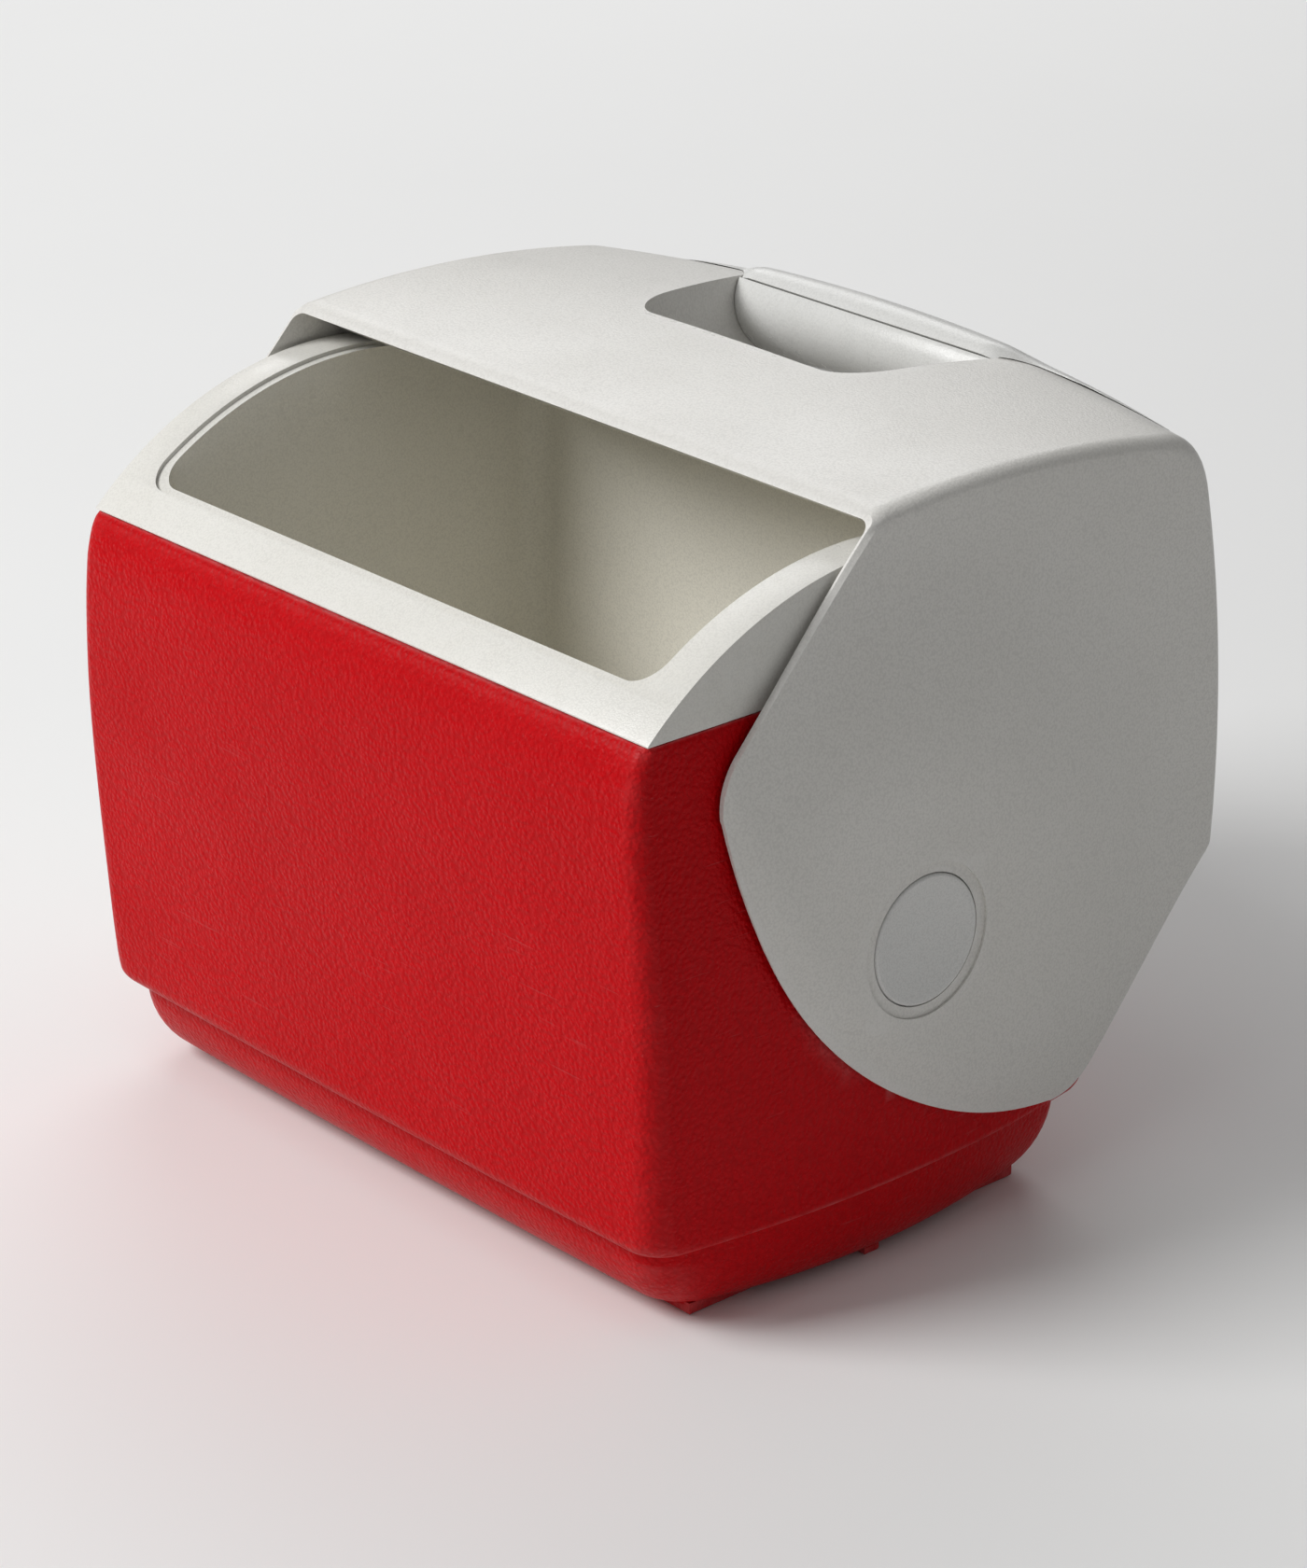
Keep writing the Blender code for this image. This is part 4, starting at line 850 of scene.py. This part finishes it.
def lid_slice(column, inset, spread, drop, fine, ease=0.0):
    """One slice through the lid, from the right ear's lower edge over the roof to the left one's."""
    y_low, z_low = ear_edge(column)
    y_low *= 1.0 + spread
    y_top = LID_DEPTH * column / 8 * (1.0 + spread)
    bevel_z = max(BEVEL_ARC_Z - math.sqrt(BEVEL_ARC ** 2 - y_low ** 2), z_low + 0.0012)
    fall = BEVEL_DROP * min(1.0, (bevel_z - z_low) / 0.0145) * (1.0 if inset <= 0.0 else 0.5)
    roof_inset = inset * ROOF_WALL / EAR_WALL
    fillet = max(EAR_FILLET - inset, 0.002)
    turn_x = EAR_X - inset - fillet
    top = roof_height(turn_x, y_top) - roof_inset - fillet
    right = [(ear_face(y_low, z_low) - fall - inset, y_low, z_low - drop)]
    if fine > 1 and inset <= 0.0:
        for share in (0.25, 0.5, 0.75):
            z = z_low + (bevel_z - z_low) * share
            right.append((ear_face(y_low, z) - fall * (1.0 - share ** 1.15), y_low, z))
    for i in range(7 * fine + 1):
        share = i / (7 * fine)
        y = y_low + (y_top - y_low) * share
        z = bevel_z + (top - bevel_z) * share
        right.append((ear_face(y, z) - inset, y, z))
    for i in range(1, 3 * fine + 1):
        angle = math.pi / 2 * i / (3 * fine)
        right.append((turn_x + fillet * math.cos(angle), y_top, top + fillet * math.sin(angle)))
    roof = []
    for i in range(1, 10 * fine):
        x = turn_x * (1 - i / (5 * fine))
        roof.append((x, y_top, roof_height(x, y_top) - roof_inset))
    right = [(x - ease * min(1.0, (top + fillet - z) / fillet), y,
              z - ease * max(0.0, 1.0 - (top + fillet - z) / fillet)) for x, y, z in right]
    roof = [(x, y, z - ease) for x, y, z in roof]
    return right + roof + [(-x, y, z) for x, y, z in reversed(right)]


def lid_volume(name, inset, spread=0.0, drop=0.0, fine=4, strip=0.0):
    """The volume under the lid's surface; strip chamfers its front and rear edges."""
    columns = [i / fine for i in range(-8 * fine, 8 * fine + 1)]
    if strip > 0.0:
        columns = columns[:1] + [strip * 100.0 - 8.0] + columns[1:-1] + [8.0 - strip * 100.0] + columns[-1:]
    return skinned(name, [lid_slice(column, inset, spread, drop, fine, strip if abs(column) == 8.0 else 0.0)
                          for column in columns])


def hand_recess(name, grow, fine=10):
    """The hand recess through the ridge: a rounded outline that narrows to a flat floor."""
    rings = []
    for z, half_x, corner in ((0.2362, 0.0440, 0.0100), (0.2370, 0.0462, 0.0110), (0.2392, 0.0485, 0.0118),
                              (0.2447, 0.0500, 0.0126), (0.2540, 0.0520, 0.0140), (0.2660, 0.0545, 0.0155),
                              (0.2780, 0.0572, 0.0170), (0.2900, 0.0605, 0.0185), (0.3020, 0.0650, 0.0200)):
        low = grow if z < 0.2392 else 0.0
        rings.append(round_cornered(half_x + grow, 0.0600 + grow, corner + grow, z - low, fine))
    return skinned(name, rings)


lid_top = lid_volume("lid_moulding", 0.0, strip=0.0013)
lid_room = lid_volume("lid_room", EAR_WALL, 0.12, 0.02, 2)
worked(lid_room, ("DIFFERENCE", hand_recess("recess_wall", 0.0020)))
lid_steps = [("DIFFERENCE", lid_room), ("DIFFERENCE", hand_recess("recess", 0.0))]
EAR_OUTER_X = EAR_X + EAR_BULGE
for side in (1, -1):
    lid_steps.append(("DIFFERENCE", bar("ring_recess", RING_RADIUS, *on_side(side, EAR_OUTER_X - 0.0008, 0.16),
                                        0.0, button_z)))
    lid_steps.append(("DIFFERENCE", bar("ear_hole", EAR_HOLE_RADIUS, *on_side(side, 0.13, 0.16),
                                        0.0, button_z)))
    lid_steps.append(("DIFFERENCE", bar("screw_way", SCREW_WAY_RADIUS, *on_side(side, 0.048, 0.069),
                                        0.0, SCREW_WAY_Z, 24)))
worked(lid_top, *lid_steps)
eased(lid_top, 0.0, 30.0)
lid_top.data.transform(lid_swung)
lid_white = moulded("lid_white", (0.735, 0.722, 0.690), (0.700, 0.685, 0.648), 0.36, 1300.0,
                    0.000045, 0.6, 0.6)
fitted(lid_top, lid_white, "lid_white", "lid", "lid_shell")

# ---------------------------------------------------------------- lid liner
# Under the roof a thin white skin, rolled to the same axis as the rim, runs close over it and ends
# in a flange along the lid's lower edges.
pan_half_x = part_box("lid_liner")[1].x
PAN_ARC = 0.1335
PAN_WALL = 0.0015
pan_end = math.radians(41.0)
flange_z = LID_EDGE_Z + 0.0004


def reach_under_roof(z):
    """How far from the ridge a piece at a height can reach under the slope."""
    y = LID_DEPTH
    while roof_height(EAR_X, y) - ROOF_WALL - 0.0009 < z:
        y -= 0.0001
    return y


under = []
over = []
for i in range(97):
    angle = -pan_end + 2 * pan_end * i / 96
    under.append((PAN_ARC * math.sin(angle), pivot.z + PAN_ARC * math.cos(angle)))
    over.append(((PAN_ARC + PAN_WALL) * math.sin(angle), pivot.z + (PAN_ARC + PAN_WALL) * math.cos(angle)))
near = reach_under_roof(flange_z)
far = reach_under_roof(flange_z + PAN_WALL)
pan_line = [(-near, flange_z)] + under + [(near, flange_z), (far, flange_z + PAN_WALL)]
pan_line += over[::-1] + [(-far, flange_z + PAN_WALL)]
lid_pan = skinned("lid_pan", [[(x, y, z) for y, z in pan_line] for x in (-pan_half_x, pan_half_x)])
eased(lid_pan, 0.0004, 40.0, 2)
lid_pan.data.transform(lid_swung)
lid_liner_white = moulded("lid_liner_white", (0.700, 0.690, 0.650), (0.650, 0.635, 0.590), 0.38, 1500.0,
                          0.00003, 0.6, 0.7)
fitted(lid_pan, lid_liner_white, "lid_liner_white", "lid", "lid_liner")

# ---------------------------------------------------------------- handle
# The grip bridges the recess: a half-round lower half held by two screws, and a long cap pressed
# over it whose tips run out along the ridge.
GRIP_HALF = 0.0172
SEAM_Z = 0.2835
GRIP_BOTTOM_Z = 0.2690
CAP_HALF_X = 0.1310
CAP_NARROWING = 0.0076
CAP_CREST = 0.0018


def half_round(width, base, crest, x, steps=40):
    """One section of the grip or its cap: flat on the seam and full towards the crest."""
    return [(x, width * math.cos(math.pi * i / steps),
             base + (crest - base) * math.sin(math.pi * i / steps) ** 0.8) for i in range(steps + 1)]


grip = skinned("grip", [half_round(GRIP_HALF, SEAM_Z - 0.00015, GRIP_BOTTOM_Z, x) for x in (-0.085, 0.085)])
worked(grip, ("INTERSECT", hand_recess("grip_room", -0.0003)),
       *[("DIFFERENCE", bar("grip_way", SCREW_WAY_RADIUS, *on_side(side, 0.0497, 0.069),
                            0.0, SCREW_WAY_Z, 24)) for side in (1, -1)])
eased(grip, 0.0005, 40.0, 2)
grip.data.transform(lid_swung)
grip_white = moulded("grip_white", (0.700, 0.700, 0.680), (0.665, 0.663, 0.640), 0.32, 1600.0,
                     0.00003, 0.5, 0.9)
fitted(grip, grip_white, "grip_white", "lid", "handle_grip")

cap_rings = []
for i in range(81):
    share = -1.0 + 2.0 * i / 80
    share = math.copysign(1.0 - (1.0 - abs(share)) ** 1.35, share)
    x = CAP_HALF_X * share
    width = GRIP_HALF - CAP_NARROWING * eased_step((abs(share) - 0.40) / 0.14)
    width = width * (1.0 - max(0.0, (abs(share) - 0.50) / 0.50) ** 1.6) + 0.0004
    crest = roof_height(x, 0.0) + CAP_CREST * math.sqrt(max(0.0, 1.0 - share ** 2)) - 0.0002
    cap_rings.append(half_round(width, min(SEAM_Z + 0.00015, crest - 0.006), crest, x))
cap = skinned("grip_cap", cap_rings)
cap_bed = lid_volume("cap_bed", -0.0003, fine=2)
worked(cap_bed, ("DIFFERENCE", hand_recess("cap_room", -0.0003)))
worked(cap, ("DIFFERENCE", cap_bed))
eased(cap, 0.0, 40.0)
cap.data.transform(lid_swung)
cap_white = moulded("cap_white", (0.710, 0.710, 0.692), (0.672, 0.670, 0.648), 0.30, 1600.0,
                    0.00003, 0.5, 0.9)
fitted(cap, cap_white, "cap_white", "lid", "handle_cap")

# ---------------------------------------------------------------- push button and left pivot cap
# The button is a dished white disc in a round hole of the right ear, with a rounded rim. A plain
# cap of the same form closes the left ear.
BUTTON_RADIUS = 0.0208
RIM_ROUND = 0.0009
face_x = EAR_OUTER_X - 0.0002
flange_x = EAR_OUTER_X - EAR_WALL - 0.0003


def lathed(name, profile, side, z, steps=128):
    """A turned piece about an X axis at height z; the profile lists radius and distance outwards."""
    points = []
    faces = []
    rows = []
    for radius, reach in profile:
        if radius == 0.0:
            rows.append([len(points)])
            points.append((side * reach, 0.0, z))
            continue
        rows.append(list(range(len(points), len(points) + steps)))
        for i in range(steps):
            angle = 2 * math.pi * i / steps
            points.append((side * reach, radius * math.cos(angle), z + radius * math.sin(angle)))
    closed = rows if profile[0][0] == 0.0 else rows + [rows[0]]
    for low, high in zip(closed, closed[1:]):
        for i in range(steps):
            j = (i + 1) % steps
            if len(low) == 1:
                faces.append((low[0], high[i], high[j]))
            elif len(high) == 1:
                faces.append((low[i], low[j], high[0]))
            else:
                faces.append((low[i], low[j], high[j], high[i]))
    return closed_mesh(name, points, faces)


def dish(radius):
    """Outer face of the button at a distance from its axis."""
    return face_x - 0.0022 * (1.0 - (radius / (BUTTON_RADIUS - 0.0012)) ** 2)


disc = [(BUTTON_RADIUS * 0.92 * i / 24, dish(BUTTON_RADIUS * 0.92 * i / 24)) for i in range(25)]
for i in range(9):
    angle = math.radians(115 - 115 * i / 8)
    disc.append((BUTTON_RADIUS - RIM_ROUND + RIM_ROUND * math.cos(angle),
                 face_x - RIM_ROUND + RIM_ROUND * math.sin(angle)))
disc += [(BUTTON_RADIUS, flange_x), (BUTTON_RADIUS + 0.0011, flange_x),
         (BUTTON_RADIUS + 0.0011, flange_x - 0.0014), (BUTTON_RADIUS - 0.0015, flange_x - 0.0014),
         (BUTTON_RADIUS - 0.0015, face_x - 0.0020)]
boss_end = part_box("push_button")[0].x
latch_top = dish(0.0) - 0.0016
button_white = moulded("button_white", (0.720, 0.720, 0.705), (0.690, 0.688, 0.668), 0.30, 1700.0,
                       0.00002, 0.5, 0.9)
button = lathed("button", disc + [(0.0045, dish(0.0045) - 0.0015), (0.0045, boss_end), (0.0033, boss_end),
                                  (0.0033, latch_top), (0.0, latch_top)], 1, button_z)
eased(button, 0.0, 36.0)
button.data.transform(lid_swung)
fitted(button, button_white, "button_white", "button", "push_button")
left_cap = lathed("left_pivot_cap", disc + [(0.0, latch_top)], -1, button_z)
eased(left_cap, 0.0, 36.0)
left_cap.data.transform(lid_swung)
pivot_cap_white = moulded("pivot_cap_white", (0.700, 0.700, 0.682), (0.670, 0.668, 0.645), 0.34, 1700.0,
                          0.00002, 0.5, 0.7)
fitted(left_cap, pivot_cap_white, "pivot_cap_white", "lid", "pivot_cap_left")

# ---------------------------------------------------------------- button spring
# A coil of steel wire stands on the housing floor round the button's boss. It is drawn at the length of the
# spring part and moves with the lid.
spring_low, spring_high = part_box("button_spring")
WIRE_RADIUS = 0.0005
spring_length = spring_high.x - spring_low.x
spring_sizes = {"Coil Radius": 0.0054, "Wire Radius": WIRE_RADIUS, "Turns": 3.5,
                "Height": spring_length - 2 * WIRE_RADIUS}
spring_tree = bpy.data.node_groups.new("coil spring", "GeometryNodeTree")
spring_sockets = {}
for label in spring_sizes:
    socket = spring_tree.interface.new_socket(label, in_out="INPUT", socket_type="NodeSocketFloat")
    spring_sockets[label] = socket.identifier
socket = spring_tree.interface.new_socket("Metal", in_out="INPUT", socket_type="NodeSocketMaterial")
spring_sockets["Metal"] = socket.identifier
spring_tree.interface.new_socket("Spring", in_out="OUTPUT", socket_type="NodeSocketGeometry")
asked = spring_tree.nodes.new("NodeGroupInput")
answer = spring_tree.nodes.new("NodeGroupOutput")
coil = spring_tree.nodes.new("GeometryNodeCurveSpiral")
coil.inputs["Resolution"].default_value = 48
spring_tree.links.new(asked.outputs["Turns"], coil.inputs["Rotations"])
spring_tree.links.new(asked.outputs["Coil Radius"], coil.inputs["Start Radius"])
spring_tree.links.new(asked.outputs["Coil Radius"], coil.inputs["End Radius"])
spring_tree.links.new(asked.outputs["Height"], coil.inputs["Height"])
wire = spring_tree.nodes.new("GeometryNodeCurvePrimitiveCircle")
wire.inputs["Resolution"].default_value = 12
spring_tree.links.new(asked.outputs["Wire Radius"], wire.inputs["Radius"])
drawn = spring_tree.nodes.new("GeometryNodeCurveToMesh")
drawn.inputs["Fill Caps"].default_value = True
spring_tree.links.new(coil.outputs["Curve"], drawn.inputs["Curve"])
spring_tree.links.new(wire.outputs["Curve"], drawn.inputs["Profile Curve"])
real = spring_tree.nodes.new("GeometryNodeRealizeInstances")
spring_tree.links.new(drawn.outputs["Mesh"], real.inputs["Geometry"])
plated = spring_tree.nodes.new("GeometryNodeSetMaterial")
spring_tree.links.new(real.outputs["Geometry"], plated.inputs["Geometry"])
spring_tree.links.new(asked.outputs["Metal"], plated.inputs["Material"])
spring_tree.links.new(plated.outputs["Geometry"], answer.inputs["Spring"])
spring = placed("coil_spring", bpy.data.meshes.new("coil_spring"))
maker = spring.modifiers.new("spring", "NODES")
maker.node_group = spring_tree
for size, value in spring_sizes.items():
    maker[spring_sockets[size]] = value
maker[spring_sockets["Metal"]] = spring_steel
baked(spring)
spring.data.transform(Matrix(((0, 0, 1, spring_low.x + WIRE_RADIUS), (1, 0, 0, 0), (0, 1, 0, button_z),
                              (0, 0, 0, 1))))
eased(spring, 0.0, 60.0)
spring.data.transform(lid_swung)
fitted(spring, spring_steel, "spring_steel", "lid", "button_spring")
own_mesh(spring)

# ---------------------------------------------------------------- floor and light
# A pale floor carries the cooler, and three broad soft lamps stand in front, above and behind.
floor_mesh = bpy.data.meshes.new("floor")
floor_mesh.from_pydata([(-6, -6, 0), (6, -6, 0), (6, 6, 0), (-6, 6, 0)], [], [(0, 1, 2, 3)])
floor = placed("floor", floor_mesh)
floor_paint, tree, shader, place = painted("floor_paint")
tree.links.new(blended(tree, noise(tree, place, 5.0, 3.0), (0.86, 0.86, 0.855), (0.84, 0.84, 0.835)),
               shader.inputs["Base Color"])
shader.inputs["Roughness"].default_value = 0.7
floor_mesh.materials.append(floor_paint)

world = bpy.data.worlds.new("studio")
bpy.context.scene.world = world
world.use_nodes = True
sky = world.node_tree.nodes["Background"]
sky.inputs["Color"].default_value = (1.0, 1.0, 1.0, 1.0)
sky.inputs["Strength"].default_value = 0.22
cooler_middle = (0.0, 0.0, 0.13)
floor_behind = (-2.1, 1.9, 0.0)
for name, power, size, stand, aim in (("front lamp", 66.0, 1.3, (-1.0, -1.9, 2.0), cooler_middle),
                                      ("top lamp", 5.0, 1.6, (0.0, -0.9, 2.4), cooler_middle),
                                      ("back lamp", 44.0, 2.4, (-2.3, 2.1, 2.0), floor_behind)):
    lamp = bpy.data.lights.new(name, "AREA")
    lamp.energy = power
    lamp.size = size
    holder = placed(name, lamp)
    holder.location = stand
    holder.rotation_euler = (Vector(stand) - Vector(aim)).to_track_quat("Z", "Y").to_euler()
bpy.context.scene.view_settings.view_transform = "Standard"
